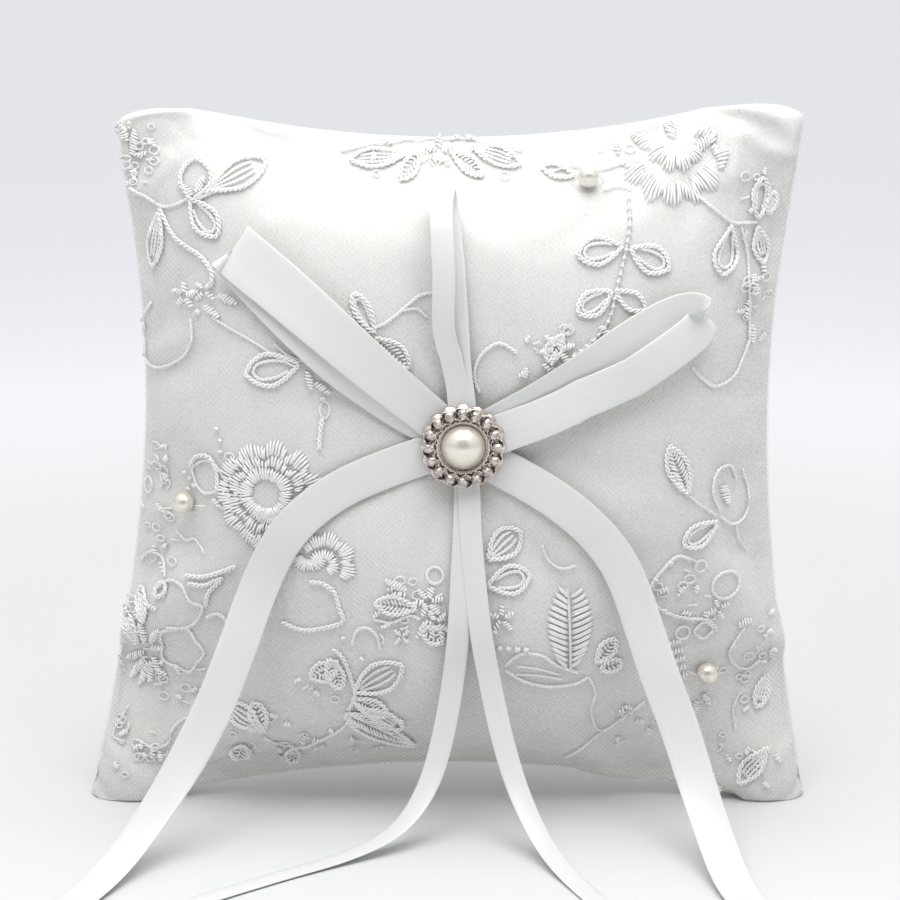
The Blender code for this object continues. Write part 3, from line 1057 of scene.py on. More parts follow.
@dataclass
class Embroidery:
    """White thread worked on the net: corded outlines, satin stitch and knots. Its sizes are in millimetres."""

    cushion: StuffedCushion
    cord_width: float = 1.4
    lift: float = 0.25
    ply_turn: float = 2.7
    stitch_pitch: float = 0.74
    stitch_high: float = 0.58
    stitch_wide: float = 0.34
    seed: int = 7

    def __post_init__(self) -> None:
        """Readies the thread, its finish and its random order."""
        self.thread = Strands()
        self.chance = random.Random(self.seed)
        self.material = TwistedThread().material()

    def _finish(self, name: str) -> None:
        """Makes a piece of the thread laid down since the last one."""
        made = add_piece(name, self.thread.points, self.thread.faces, self.material)
        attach(made, CUSHION)
        self.thread = Strands()

    def cord(self, points: Sequence[Pair], width: float = 0.0, closed: bool = False) -> None:
        """Lays a two-ply cord along a line.

        Args:
            points: Places that it passes.
            width: Its width, or 0 for the usual one.
            closed: Whether it comes back to its start.
        """
        width = width or self.cord_width
        line = spaced(rounded(points, closed), 0.42)
        if closed:
            line = line[:-1]
        spots = [self.cushion.on_face(x, z, self.lift + 0.24 * width) for x, z in line]
        route = [spot for spot, _ in spots]
        outs = [out for _, out in spots]
        last = len(route) - 1
        turn = self.ply_turn * (width / self.cord_width) ** 0.5
        for ply in (0.0, math.pi):
            centre = []
            for i, (place, out) in enumerate(spots):
                along = route[min(i + 1, last)] - route[max(i - 1, 0)]
                side = along.cross(out).normalized()
                angle = ply + 2 * math.pi * i * 0.42 / turn
                swing = side * math.cos(angle) + out * (0.45 * math.sin(angle))
                fuzz = self.chance.uniform(0.8, 1.2)
                centre.append(place + swing * (0.31 * fuzz * width * MM))
            self.thread.tube(centre, outs, 0.23 * width * MM, 0.24 * width * MM, closed)

    def strand(self, start: Pair, end: Pair, high: float = 0.0, wide: float = 0.0) -> None:
        """Lays one satin stitch, which rises over its padding.

        Args:
            start: Where it comes up.
            end: Where it goes down.
            high: How high it rises, or 0 for the usual height.
            wide: Half its width, or 0 for the usual one.
        """
        high = high or self.stitch_high
        wide = wide or self.stitch_wide
        shake = [self.chance.uniform(-0.12, 0.12) for _ in range(4)]
        a = (start[0] + shake[0], start[1] + shake[1])
        b = (end[0] + shake[2], end[1] + shake[3])
        route, outs = [], []
        for u, lift in ((0.0, 0.0), (0.22, 0.8), (0.5, 1.0), (0.78, 0.8), (1.0, 0.0)):
            rise = self.lift * min(1.0, 2 * lift) + high * lift
            spot, out = self.cushion.on_face(a[0] + (b[0] - a[0]) * u, a[1] + (b[1] - a[1]) * u, rise)
            route.append(spot)
            outs.append(out)
        self.thread.tube(route, outs, wide * MM, 0.2 * MM)

    def leaf(
        self,
        base: Pair,
        tip: Pair,
        width: float,
        inside: Inside = Inside.NOTHING,
        cord: float = 0.0,
        belly: float = 0.58,
    ) -> None:
        """Works a leaf with a corded outline.

        Args:
            base: Where its stalk joins.
            tip: Its far end.
            width: Its greatest width.
            inside: What fills it.
            cord: The outline's width, or 0 for the usual one.
            belly: Where along it it is widest.
        """
        power = math.log(0.5) / math.log(belly)
        run = (tip[0] - base[0], tip[1] - base[1])
        size = math.hypot(*run)
        across = (-run[1] / size, run[0] / size)

        def spot(u: float, v: float) -> Pair:
            """A place in the leaf: u along it, and v across it in half widths."""
            half = 0.5 * width * math.sin(math.pi * u**power) ** 0.8 if 0 < u < 1 else 0.0
            return base[0] + run[0] * u + across[0] * half * v, base[1] + run[1] * u + across[1] * half * v

        steps = (0.12, 0.32, 0.58, 0.82, 0.95)
        self.cord([base] + [spot(u, 1) for u in steps] + [tip] + [spot(u, -1) for u in reversed(steps)] + [base], cord)
        if inside is Inside.DOUBLE:
            ring = [spot(u, 0.55) for u in (0.22, 0.42, 0.62, 0.78)] + [spot(0.86, 0)]
            ring += [spot(u, -0.55) for u in (0.78, 0.62, 0.42, 0.22)]
            self.cord(ring, 0.7 * self.cord_width)
        elif inside is Inside.LINES:
            for v in (-0.4, 0.05, 0.5):
                self.cord([spot(u, v) for u in (0.1, 0.35, 0.6, 0.82)], 0.65 * self.cord_width)
        elif inside is Inside.VEINS:
            count = max(3, int(size / 1.1))
            for k in range(1, count):
                u = k / count
                for v in (-0.8, 0.8):
                    self.strand(spot(u * 0.92, 0.05 * v), spot(min(u * 0.92 + 0.12, 0.97), v), 0.35)

    def petal(self, base: Pair, tip: Pair, width: float) -> None:
        """Works a petal in satin stitch, laid across it.

        Args:
            base: Its inner end.
            tip: Its outer end.
            width: Its greatest width.
        """
        run = (tip[0] - base[0], tip[1] - base[1])
        size = math.hypot(*run)
        across = (-run[1] / size, run[0] / size)
        count = max(3, int(size / self.stitch_pitch))
        for k in range(count):
            u = (k + 0.5) / count
            half = 0.5 * width * math.sin(math.pi * (0.12 + 0.82 * u)) ** 0.7
            mid = (base[0] + run[0] * u, base[1] + run[1] * u)
            slant = 0.35 * half
            ends = []
            for v in (-1, 1):
                lean = slant * v / size
                x = mid[0] + across[0] * half * v + run[0] * lean
                z = mid[1] + across[1] * half * v + run[1] * lean
                ends.append((x, z))
            self.strand(ends[0], ends[1])

    def radial(
        self,
        centre: Pair,
        inner: float,
        outer: float,
        start: float = 0.0,
        end: float = 360.0,
        lobes: int = 0,
        dip: float = 0.15,
        pitch: float = 0.0,
        squash: float = 1.0,
    ) -> None:
        """Works a band of stitches that point out from a centre.

        Args:
            centre: The centre.
            inner: The band's inner radius.
            outer: Its outer radius.
            start: Its first angle, in degrees.
            end: Its last angle.
            lobes: How many scallops its rim has.
            dip: How deep the scallops are, as a share of the outer radius.
            pitch: The distance between stitches at the rim, or 0 for the usual one.
            squash: Its height as a share of its width.
        """
        pitch = pitch or self.stitch_pitch * 1.35
        sweep = math.radians(end - start)
        count = max(3, int(abs(sweep) * outer / pitch))
        for k in range(count):
            share = (k + 0.5) / count
            angle = math.radians(start) + sweep * share
            rim = outer * (1 - dip * (1 - abs(math.sin(math.pi * lobes * share)))) if lobes else outer
            rim *= 1 + self.chance.uniform(-0.03, 0.03)
            root = inner * (1 + self.chance.uniform(0.0, 0.12))
            swirl = angle + self.chance.uniform(-0.03, 0.03)
            a = (centre[0] + math.cos(swirl) * root, centre[1] + math.sin(swirl) * root * squash)
            b = (centre[0] + math.cos(angle) * rim, centre[1] + math.sin(angle) * rim * squash)
            self.strand(a, b, 0.6)

    def knot(self, centre: Pair, radius: float = 0.9) -> None:
        """Works a small raised knot.

        Args:
            centre: Its middle.
            radius: Its radius.
        """
        first = self.chance.uniform(0, math.pi)
        for k in range(4):
            angle = first + math.pi * k / 4
            dx, dz = math.cos(angle) * radius, math.sin(angle) * radius
            self.strand((centre[0] - dx, centre[1] - dz), (centre[0] + dx, centre[1] + dz), 0.75)

    def ring(self, centre: Pair, radius: float, tall: float = 1.0, lobes: int = 0, cord: float = 0.0) -> None:
        """Lays a closed ring of cord.

        Args:
            centre: Its middle.
            radius: Its radius across.
            tall: Its height as a share of its width.
            lobes: How many scallops it has.
            cord: Its cord's width, or 0 for the usual one.
        """
        count = max(10, 4 * lobes)
        points = []
        for k in range(count):
            angle = 2 * math.pi * k / count
            swell = 1 + (0.10 * math.cos(lobes * angle) if lobes else 0.0)
            x = centre[0] + radius * swell * math.cos(angle)
            points.append((x, centre[1] + radius * tall * swell * math.sin(angle)))
        self.cord(points, cord, closed=True)

    def cluster(self, centre: Pair, radius: float, count: int = 5, start: float = 20.0) -> None:
        """Works a small flower of satin-stitch petals.

        Args:
            centre: Its middle.
            radius: How far its petals reach.
            count: How many there are.
            start: The first petal's angle, in degrees.
        """
        for k in range(count):
            angle = math.radians(start + 360 * k / count)
            reach = 1.25 * radius * self.chance.uniform(0.85, 1.1)
            root = (centre[0] + 0.25 * radius * math.cos(angle), centre[1] + 0.25 * radius * math.sin(angle))
            tip = (centre[0] + reach * math.cos(angle), centre[1] + reach * math.sin(angle))
            self.petal(root, tip, radius * 0.62)

    def lace(self, low: Pair, high: Pair, count: int) -> None:
        """Works a patch of small loops, knots and stitches in a box.

        Args:
            low: The box's lower left corner.
            high: Its upper right corner.
            count: How many there are.
        """
        for k in range(count):
            spot = (self.chance.uniform(low[0], high[0]), self.chance.uniform(low[1], high[1]))
            kind = k % 3
            turn = self.chance.uniform(0, 2 * math.pi)
            reach = self.chance.uniform(1.6, 3.2)
            tip = (spot[0] + reach * math.cos(turn), spot[1] + reach * math.sin(turn))
            if kind == 0:
                self.ring(spot, self.chance.uniform(0.9, 1.5), 0.8, cord=0.6)
            elif kind == 1:
                self.petal(spot, tip, 1.7)
            else:
                self.cord([spot, ((spot[0] + tip[0]) / 2 + 0.7, (spot[1] + tip[1]) / 2), tip], 0.7)

    def build(self) -> None:
        """Works every motif of the face and makes a piece of each."""
        motifs = {
            "upper_left_spray": self._upper_left_spray,
            "left_drop": self._left_drop,
            "rose": self._rose,
            "left_edge_flower": self._left_edge_flower,
            "lower_left_garland": self._lower_left_garland,
            "left_sprig": self._left_sprig,
            "top_border": self._top_border,
            "fan_flower": self._fan_flower,
            "hanging_sprig": self._hanging_sprig,
            "right_border": self._right_border,
            "right_garland": self._right_garland,
            "fern_spray": self._fern_spray,
            "middle_sprig": self._middle_sprig,
        }
        for name, work in motifs.items():
            work()
            self._finish(f"embroidered_{name}")

    def _upper_left_spray(self) -> None:
        """The stem from the upper left corner, with its flower and leaves."""
        self.lace((-90, 172), (-80, 190), 30)
        self.petal((-88, 186), (-92, 191), 3.0)
        self.petal((-87, 182), (-86, 189), 3.0)
        self.cord([(-88, 173), (-83, 171), (-79, 168.5), (-75, 169), (-70, 171.5)], 1.0)
        self.cord([(-70, 171), (-72.5, 175), (-72, 179), (-68.5, 181.5), (-65, 179), (-64.5, 175), (-69, 171)])
        self.petal((-69.5, 172), (-73.5, 175), 2.2)
        self.petal((-68.5, 173), (-66, 177), 2.6)
        self.leaf((-66, 173), (-50, 181), 7.0, Inside.LINES, belly=0.62)
        self.cord([(-68, 171), (-62, 173.5), (-56, 174)], 1.0)
        self.leaf((-70, 171), (-62.5, 161.5), 7.0, Inside.DOUBLE)
        self.cord([(-79, 168), (-75, 161), (-71, 158), (-67, 156), (-64, 152), (-64, 148)])
        self.leaf((-79, 167), (-81.5, 152), 4.2, Inside.LINES)
        self.cluster((-72, 145), 3.4, 5)
        self.cluster((-66, 147), 2.6, 4, 50)
        self.petal((-62, 146), (-57, 144), 2.8)
        self.petal((-66, 143), (-62, 140), 2.6)
        self.knot((-68, 141))
        self.cord([(-64, 140), (-58, 137), (-52, 134), (-47, 131), (-41, 128)], 0.8)

    def _left_drop(self) -> None:
        """The long drop at the left edge, and the leaf and stem that run down to the rose."""
        self.cord(
            [(-70, 139), (-70, 133), (-73, 128), (-78, 124.5), (-83, 124), (-86, 128), (-86, 135), (-82, 142)], 1.0
        )
        self.leaf((-40, 129), (-54.5, 125.5), 8.5, Inside.DOUBLE)
        self.cord([(-47, 134), (-43, 131), (-39, 129.5)], 0.8)
        self.petal((-38, 127), (-37, 122), 2.4)
        self.petal((-36, 124), (-32, 121), 2.4)
        self.knot((-34, 119.5), 0.8)
        self.ring((-33.5, 116.5), 1.3, 1.6, cord=0.7)
        self.cord([(-34, 114.5), (-34.6, 111), (-35, 106)])

    def _rose(self) -> None:
        """The rose, with its bands of radial stitches."""
        centre = (-49.0, 93.0)
        self.radial(centre, 9.6, 15.0, 95, 300, lobes=6, dip=0.14)
        self.radial(centre, 9.8, 16.0, -60, 95, lobes=5, dip=0.22)
        self.radial(centre, 7.2, 11.6, 10, 350, lobes=8, dip=0.2)
        self.radial((-49.5, 93.5), 3.4, 8.2, 0, 360, lobes=5, dip=0.12)
        self.radial((-48, 90), 0.8, 6.4, 195, 345, lobes=3)
        self.cord([(-52, 97), (-50.5, 99.5), (-47.5, 99.5), (-46, 97.5)], 0.8)
        self.radial((-47, 82), 2.0, 7.4, 190, 350, lobes=4)
        self.radial((-38, 78), 1.6, 5.8, 200, 350, lobes=2)
        self.lace((-66, 82), (-56, 104), 9)
        self.petal((-52, 79), (-55, 83), 3.0)
        self.petal((-45, 78), (-40, 81), 3.0)
        self.leaf((-60, 95), (-70.5, 97.5), 9.5, Inside.NOTHING, 0.9)
        for spot in ((-63, 110), (-62, 107), (-62, 104)):
            self.knot(spot, 0.6)

    def _left_edge_flower(self) -> None:
        """The loops, leaves and bright petals down the left edge."""
        self.cord([(-71, 98), (-69, 101.5), (-65, 102), (-63, 98), (-63, 93)])
        for spot in ((-73, 96), (-71.5, 94.5), (-72, 91.5), (-70, 93)):
            self.knot(spot, 0.6)
        self.ring((-79.5, 94), 1.2, 2.2, cord=0.7)
        self.ring((-84.5, 90), 1.2, 1.8, cord=0.7)
        self.cord([(-82, 84), (-77, 85)], 0.7)
        self.cord([(-76, 79), (-73, 77), (-70, 78), (-67, 75)], 0.8)
        self.lace((-86, 66), (-76, 102), 24)
        self.cord([(-87, 68), (-84, 71.5), (-80, 70), (-79, 66)], 1.0)
        self.cord([(-73, 68), (-68, 68.5), (-62, 71), (-58, 73)])
        self.cord([(-72, 66), (-67, 66.5), (-62, 69), (-66, 64.5), (-67, 60)])
        self.cord([(-82, 62), (-78, 65.5), (-74, 65), (-71.5, 61), (-68, 60), (-69.5, 56), (-73, 53), (-79, 52)], 1.0)
        self.leaf((-82, 60), (-79, 64.5), 2.6)
        self.ring((-75, 46), 6.2, 1.05, lobes=5, cord=0.95)
        self.cord([(-67, 57), (-63.5, 58.5), (-61, 56), (-61, 51)], 1.1)
        for base, tip in (
            ((-86, 41), (-90.5, 35)),
            ((-85, 40), (-88, 33)),
            ((-84, 40.5), (-85, 34)),
            ((-83.5, 42), (-81.5, 36)),
            ((-86, 43), (-92, 40)),
            ((-84, 45), (-80, 45)),
            ((-84, 47), (-81, 51)),
            ((-86, 46), (-87, 52)),
        ):
            self.petal(base, tip, 2.8)
        self.leaf((-88, 45), (-92, 54), 3.6, Inside.LINES)
        self.leaf((-86, 52), (-87, 61), 3.4, Inside.LINES)
        self.cord([(-93, 44), (-94, 40), (-92, 36)], 0.8)
        self.lace((-84, 30), (-68, 42), 14)
        self.lace((-92, 40), (-84, 60), 12)

    def _lower_left_garland(self) -> None:
        """The garland from the lower left corner along the lower edge, with its thick cord."""
        self.cord([(-91, 27), (-94, 22), (-96, 18), (-92, 17)], 0.8)
        self.cord([(-88, 18), (-84, 16), (-80, 17.5), (-78, 22), (-74, 25.5), (-70, 24)], 0.9)
        self.lace((-95, 8), (-72, 24), 20)
        self.cord([(-46, 58), (-40, 56), (-34, 57), (-29, 59), (-30, 63), (-31, 67), (-34, 69.5), (-38, 70)], 1.35)
        self.radial((-34, 75), 4.4, 9.4, -35, 140, lobes=4, dip=0.2)
        self.radial((-34, 75), 1.0, 4.4, -60, 170, lobes=3, dip=0.1)
        self.leaf((-30, 46), (-38, 42), 5.5, Inside.VEINS)
        self.leaf((-33, 48), (-30, 39), 4.6, Inside.VEINS)
        self.lace((-42, 34), (-30, 44), 7)
        self.leaf((-52, 25), (-62, 30.5), 6.0, Inside.LINES)
        self.leaf((-52, 24), (-54, 32.5), 5.0, Inside.VEINS)
        self.cord([(-52, 22), (-48, 19), (-42, 18.5), (-37, 21), (-30, 26), (-27, 31)], 1.0)
        self.leaf((-58, 19), (-60, 12.5), 5.0, Inside.VEINS)
        self.leaf((-44, 18), (-45, 11.5), 4.0, Inside.VEINS)
        for spot in ((-48, 17), (-41, 21), (-36, 19), (-33, 25)):
            self.knot(spot, 0.9)
        self.lace((-62, 12), (-38, 30), 20)
        self.lace((-28, 14), (-12, 30), 8)

    def _left_sprig(self) -> None:
        """The three leaves between the left and upright loops."""
        self.leaf((-20, 137), (-25.5, 147.5), 4.4, Inside.DOUBLE, belly=0.6)
        self.cord([(-22, 138), (-17, 140), (-12, 144), (-8, 147), (-3, 148)], 0.95)
        self.cord([(-13, 143), (-9, 143.5), (-6, 141)], 0.8)
        self.leaf((-20, 136), (-11, 128), 6.0, Inside.VEINS)
        self.cord([(-27, 143), (-24, 139), (-20, 136.5)], 0.8)
        self.cord([(8, 121), (6.5, 126), (8.5, 131.5), (13, 134.5), (18, 132)], 1.1)
        self.leaf((30, 137), (26, 130), 4.2, Inside.VEINS)
        self.cluster((28.5, 133), 4.0, 6, 10)
        self.lace((20, 124), (36, 139), 16)

    def _top_border(self) -> None:
        """The low lace along the upper edge."""
        self.leaf((-12, 182), (-27, 181), 4.5, Inside.LINES)
        self.leaf((-8, 183), (-13, 176), 4.0, Inside.VEINS)
        self.leaf((0, 183), (9, 177), 4.0, Inside.VEINS)
        self.leaf((6, 184), (19, 180), 4.5, Inside.LINES)
        self.cluster((-3, 183), 3.6, 5)
        self.cord([(-30, 183), (-20, 185), (-8, 186), (6, 186), (20, 183)], 0.8)
        self.lace((-22, 176), (18, 187), 12)

    def _fan_flower(self) -> None:
        """The fan-shaped flower at the upper right, with the thread that runs to its pearl."""
        self.radial((60.5, 186), 9.5, 17.0, 208, 325, lobes=5, dip=0.16)
        self.radial((61, 186.5), 3.2, 8.8, 200, 340, lobes=4, dip=0.16)
        self.radial((61, 178), 10.5, 15.5, 5, 62, lobes=2, dip=0.15)
        self.petal((54, 184), (50, 188), 3.6)
        self.petal((60, 187), (60, 192), 3.6)
        self.petal((66, 184), (72, 188), 3.6)
        self.cord([(41, 173.5), (45, 174.5), (49, 173.5)], 0.7)
        self.cord([(28, 178), (33, 179.5), (40, 178.5), (47, 180)], 0.8)
        self.leaf((34, 177), (25, 179), 3.2)
        self.cord([(62, 175), (68, 171), (73, 167), (77, 164.5), (84, 164)], 1.0)
        self.lace((40, 178), (50, 186), 5)

    def _hanging_sprig(self) -> None:
        """The knotted stem with two pairs of leaves under the fan flower."""
        stem = [(48, 171), (48, 165), (47, 159), (45.5, 153), (44, 147), (42.5, 141), (39, 136), (33, 131)]
        self.cord(stem, 0.7)
        for spot in spaced(rounded(stem), 2.1):
            self.knot(spot, 0.55)
        self.leaf((46, 159.5), (34, 157.5), 7.0, Inside.DOUBLE)
        self.leaf((48, 159), (58.5, 153.5), 7.0, Inside.DOUBLE)
        self.leaf((43, 148), (34, 142.5), 6.4, Inside.DOUBLE)
        self.leaf((44, 148), (52, 143), 4.6, Inside.NOTHING)
        self.petal((40, 139), (43, 135), 2.4)

    def _right_border(self) -> None:
        """The leaves and lace down the upper right edge, with the hanging curve."""
        self.leaf((76, 164), (73.5, 151), 7.0, Inside.DOUBLE, belly=0.64)
        self.leaf((84, 165), (85.5, 176), 5.0, Inside.DOUBLE)
        self.leaf((87, 166), (89, 172), 3.0, Inside.LINES)
        self.leaf((84, 163), (86, 153), 4.4, Inside.LINES)
        self.cord([(79, 163), (81, 156), (81.5, 148), (82, 140), (82, 132)], 0.9)
        self.petal((83, 150), (84, 144), 2.6)
        self.petal((82, 143), (81, 138), 2.6)
        self.petal((83, 136), (83, 131), 2.4)
        self.cord([(65, 127), (68, 123.5), (72, 121), (77, 122.5), (80, 127), (82, 132)], 1.0)
        self.lace((80, 130), (88, 178), 22)

    def _right_garland(self) -> None:
        """The leaves, rings and loops down the right edge, round their pearl."""
        self.leaf((64.5, 92.5), (59, 106), 5.6, Inside.VEINS, belly=0.55)
        self.cord([(64, 93), (68, 89), (73, 85)], 0.8)
        self.cord([(74, 86), (71.5, 92), (73, 97.5), (77, 98), (79, 93.5)], 0.95)
        self.petal((75, 93), (76.5, 87.5), 2.8)
        self.cord([(81, 96), (83, 89), (82.5, 83.5), (78.5, 81.5), (74, 84.5)], 0.95)
        self.leaf((73, 83.5), (63.5, 78.5), 6.2, Inside.DOUBLE)
        self.cord([(79, 81), (80, 77), (83, 72)], 0.7)
        self.cord(
            [(66, 74), (62, 75.5), (58, 72), (54.5, 67), (56, 62), (61, 58.5), (66, 57), (71, 56), (74, 52.5)], 1.1
        )
        for spot in ((60, 73.5), (56, 69), (55, 64), (58.5, 60), (64, 57.5)):
            self.knot(spot, 0.8)
        self.ring((68.5, 72), 1.6, 1.0, cord=0.7)
        self.ring((76, 65.5), 4.0, 0.95, cord=0.95)
        self.cluster((74, 59), 2.6, 4)
        self.ring((70, 53), 2.4, 0.95, lobes=4, cord=0.9)
        self.ring((64, 53), 2.0, 0.95, cord=0.8)
        for k in range(5):
            self.petal((60 + 0.8 * k, 50 - 2.6 * k), (63.5 + 0.6 * k, 50.5 - 2.6 * k), 1.8)
        self.cord([(82, 52), (80, 49), (78, 45), (80, 40.5), (84, 38.5), (87.5, 41)], 0.9)
        self.petal((80, 53), (84, 54), 2.6)
        self.petal((66, 32), (65, 27.5), 2.2)
        self.petal((69, 31), (69, 27), 2.2)
        self.petal((71, 33), (73, 29), 2.2)
        self.leaf((90, 36), (87, 27), 4.0, Inside.LINES)
        self.cord([(82, 32), (80, 27), (81, 21)], 0.7)
        self.leaf((90, 16), (82, 6), 5.0, Inside.LINES)
        self.lace((74, 22), (91, 54), 22)
        self.lace((56, 54), (74, 76), 14)
        self.lace((72, 5), (92, 20), 14)

    def _fern_spray(self) -> None:
        """The upright fern and the long leaf that meets it."""
        base, tip = (33.0, 44.0), (32.0, 67.5)
        self.cord([base, (32.6, 55), tip], 0.8)
        count = 13
        for k in range(count):
            u = k / (count - 1)
            z = base[1] + (tip[1] - base[1]) * (0.08 + 0.85 * u)
            reach = 6.4 * math.sin(math.pi * (0.15 + 0.72 * u)) ** 0.7
            for way in (-1, 1):
                for shift in (0.0, 0.5):
                    start = (32.6 + 0.3 * way, z - 0.8 + shift)
                    self.strand(start, (32.6 + way * reach, z + 1.8 + shift), 0.5)
        self.cord([(15, 46), (19, 49.5), (25, 49), (29, 46), (35, 43.5)], 1.0)
        self.cord([(15, 45), (20, 41.5), (27, 39.5), (34, 40), (38, 42)], 1.0)
        self.cord([(18, 46), (24, 45), (30, 43)], 0.7)
        self.cord([(18, 43.5), (24, 43), (31, 41.5)], 0.7)
        for k in range(5):
            self.knot((11 + 2.4 * k, 51.5 - 0.2 * k), 0.9)
        self.leaf((40, 46), (45, 53), 4.4, Inside.VEINS)
        self.leaf((41, 44), (47, 46), 3.8, Inside.VEINS)
        self.cord([(38, 42), (40, 37), (39, 31), (42, 24), (49, 29), (54, 33)], 0.8)
        self.cord([(32, 15), (37, 19), (42, 23.5)], 0.8)
        self.cord([(25, 80), (26.5, 76), (30, 73.5), (34, 74.5)], 0.9)
        self.leaf((10, 76), (19, 83.5), 7.6, Inside.LINES)
        self.leaf((10, 69), (21.5, 71.5), 7.6, Inside.DOUBLE)
        self.cluster((14, 60), 3.2, 5)
        self.knot((12, 56), 1.0)
        self.lace((46, 18), (64, 36), 14)

    def _middle_sprig(self) -> None:
        """The sprig between the left tails, with its star of leaves."""
        self.petal((-12, 68), (-17.5, 71), 2.8)
        self.petal((-12, 67), (-17, 66.5), 2.6)
        self.ring((-4, 72), 2.2, 1.0, cord=0.9)
        self.leaf((-9, 63), (-20, 64.5), 5.0, Inside.VEINS)
        self.cord([(-21, 60), (-16, 59), (-11, 61), (-8, 60)], 0.9)
        self.lace((-20, 52), (-2, 72), 18)
        self.cluster((-6, 65), 3.6, 6, 10)
        self.cluster((-4, 59), 3.4, 5, 40)
        self.leaf((-8, 58), (-2, 53.5), 4.6, Inside.VEINS)
        self.cluster((-13, 55), 2.2, 4, 45)
        self.cord([(-26.5, 52), (-25.5, 56), (-23, 57.5), (-20, 55.5), (-19, 51)], 1.0)
        self.leaf((-26, 38), (-13, 46.5), 8.6, Inside.LINES, belly=0.55)
        self.cord([(-32, 51), (-29, 48), (-27, 42), (-26, 37), (-28, 32)], 1.25)
        self.leaf((-27, 36), (-17, 31), 5.0, Inside.VEINS)
        self.leaf((-29, 31), (-10, 19.5), 6.4, Inside.VEINS, belly=0.45)
        self.leaf((-24, 33), (-13, 26.5), 4.6, Inside.LINES)
        for spot in ((-29, 54), (-31, 47), (-24, 48)):
            self.knot(spot, 0.8)


def evened(line: Sequence[Vector], reach: int) -> list[Vector]:
    """Evens a line out, as stiff ribbon does over small bumps, and keeps its ends.

    Args:
        line: Its places or directions.
        reach: How many neighbours each way are averaged.

    Returns:
        The evened line.
    """
    last = len(line) - 1
    found = []
    for i in range(last + 1):
        span = min(reach, i, last - i)
        found.append(sum((line[j] for j in range(i - span, i + span + 1)), Vector()) / (2 * span + 1))
    return found


@dataclass
class Ribbon:
    """One length of ribbon, laid along a line. Its sizes are in millimetres."""

    name: str
    width: float
    material: bpy.types.Material
    thick: float = 0.30
    cup: float = 0.25
    swell: float = 0.0
    columns: tuple[float, ...] = (-1.0, -0.95, -0.72, -0.36, 0.0, 0.36, 0.72, 0.95, 1.0)

    def make(self, places: Sequence[Vector], acrosses: Sequence[Vector]) -> bpy.types.Object:
        """Makes the ribbon's mesh.

        Args:
            places: Its centreline, in metres.
            acrosses: The direction of its width at each place.

        Returns:
            The piece.
        """
        last = len(places) - 1
        points: list[Vector] = []
        maps: list[Pair] = []
        run = 0.0
        for i, place in enumerate(places):
            run += (place - places[i - 1]).length if i else 0.0
            along = (places[min(i + 1, last)] - places[max(i - 1, 0)]).normalized()
            across = (acrosses[i] - along * acrosses[i].dot(along)).normalized()
            out = across.cross(along)
            # A gathered loop opens out towards its fold.
            half = self.width / 2 * (1 + self.swell * max(0.0, math.sin(math.pi * i / last)) ** 1.5)
            for way in (1, -1):
                for v in self.columns[::way]:
                    # Each selvedge is a little firmer than the middle, so the cloth between them sags.
                    lift = self.cup * (1 - v * v) + way * self.thick * (0.5 if abs(v) < 1 else 0.2)
                    points.append(place + across * (v * half * MM) + out * (lift * MM))
                    maps.append(((v + 1) * half * MM, run))
        count = 2 * len(self.columns)
        faces = []
        for i in range(last):
            for k in range(count):
                after = (k + 1) % count
                faces.append((i * count + k, i * count + after, (i + 1) * count + after, (i + 1) * count + k))
        faces.append(tuple(range(count - 1, -1, -1)))
        faces.append(tuple(last * count + k for k in range(count)))
        made = add_piece(self.name, points, faces, self.material)
        layer = made.data.uv_layers.new(name="ribbon")
        for loop in made.data.loops:
            layer.data[loop.index].uv = maps[loop.vertex_index]
        return made


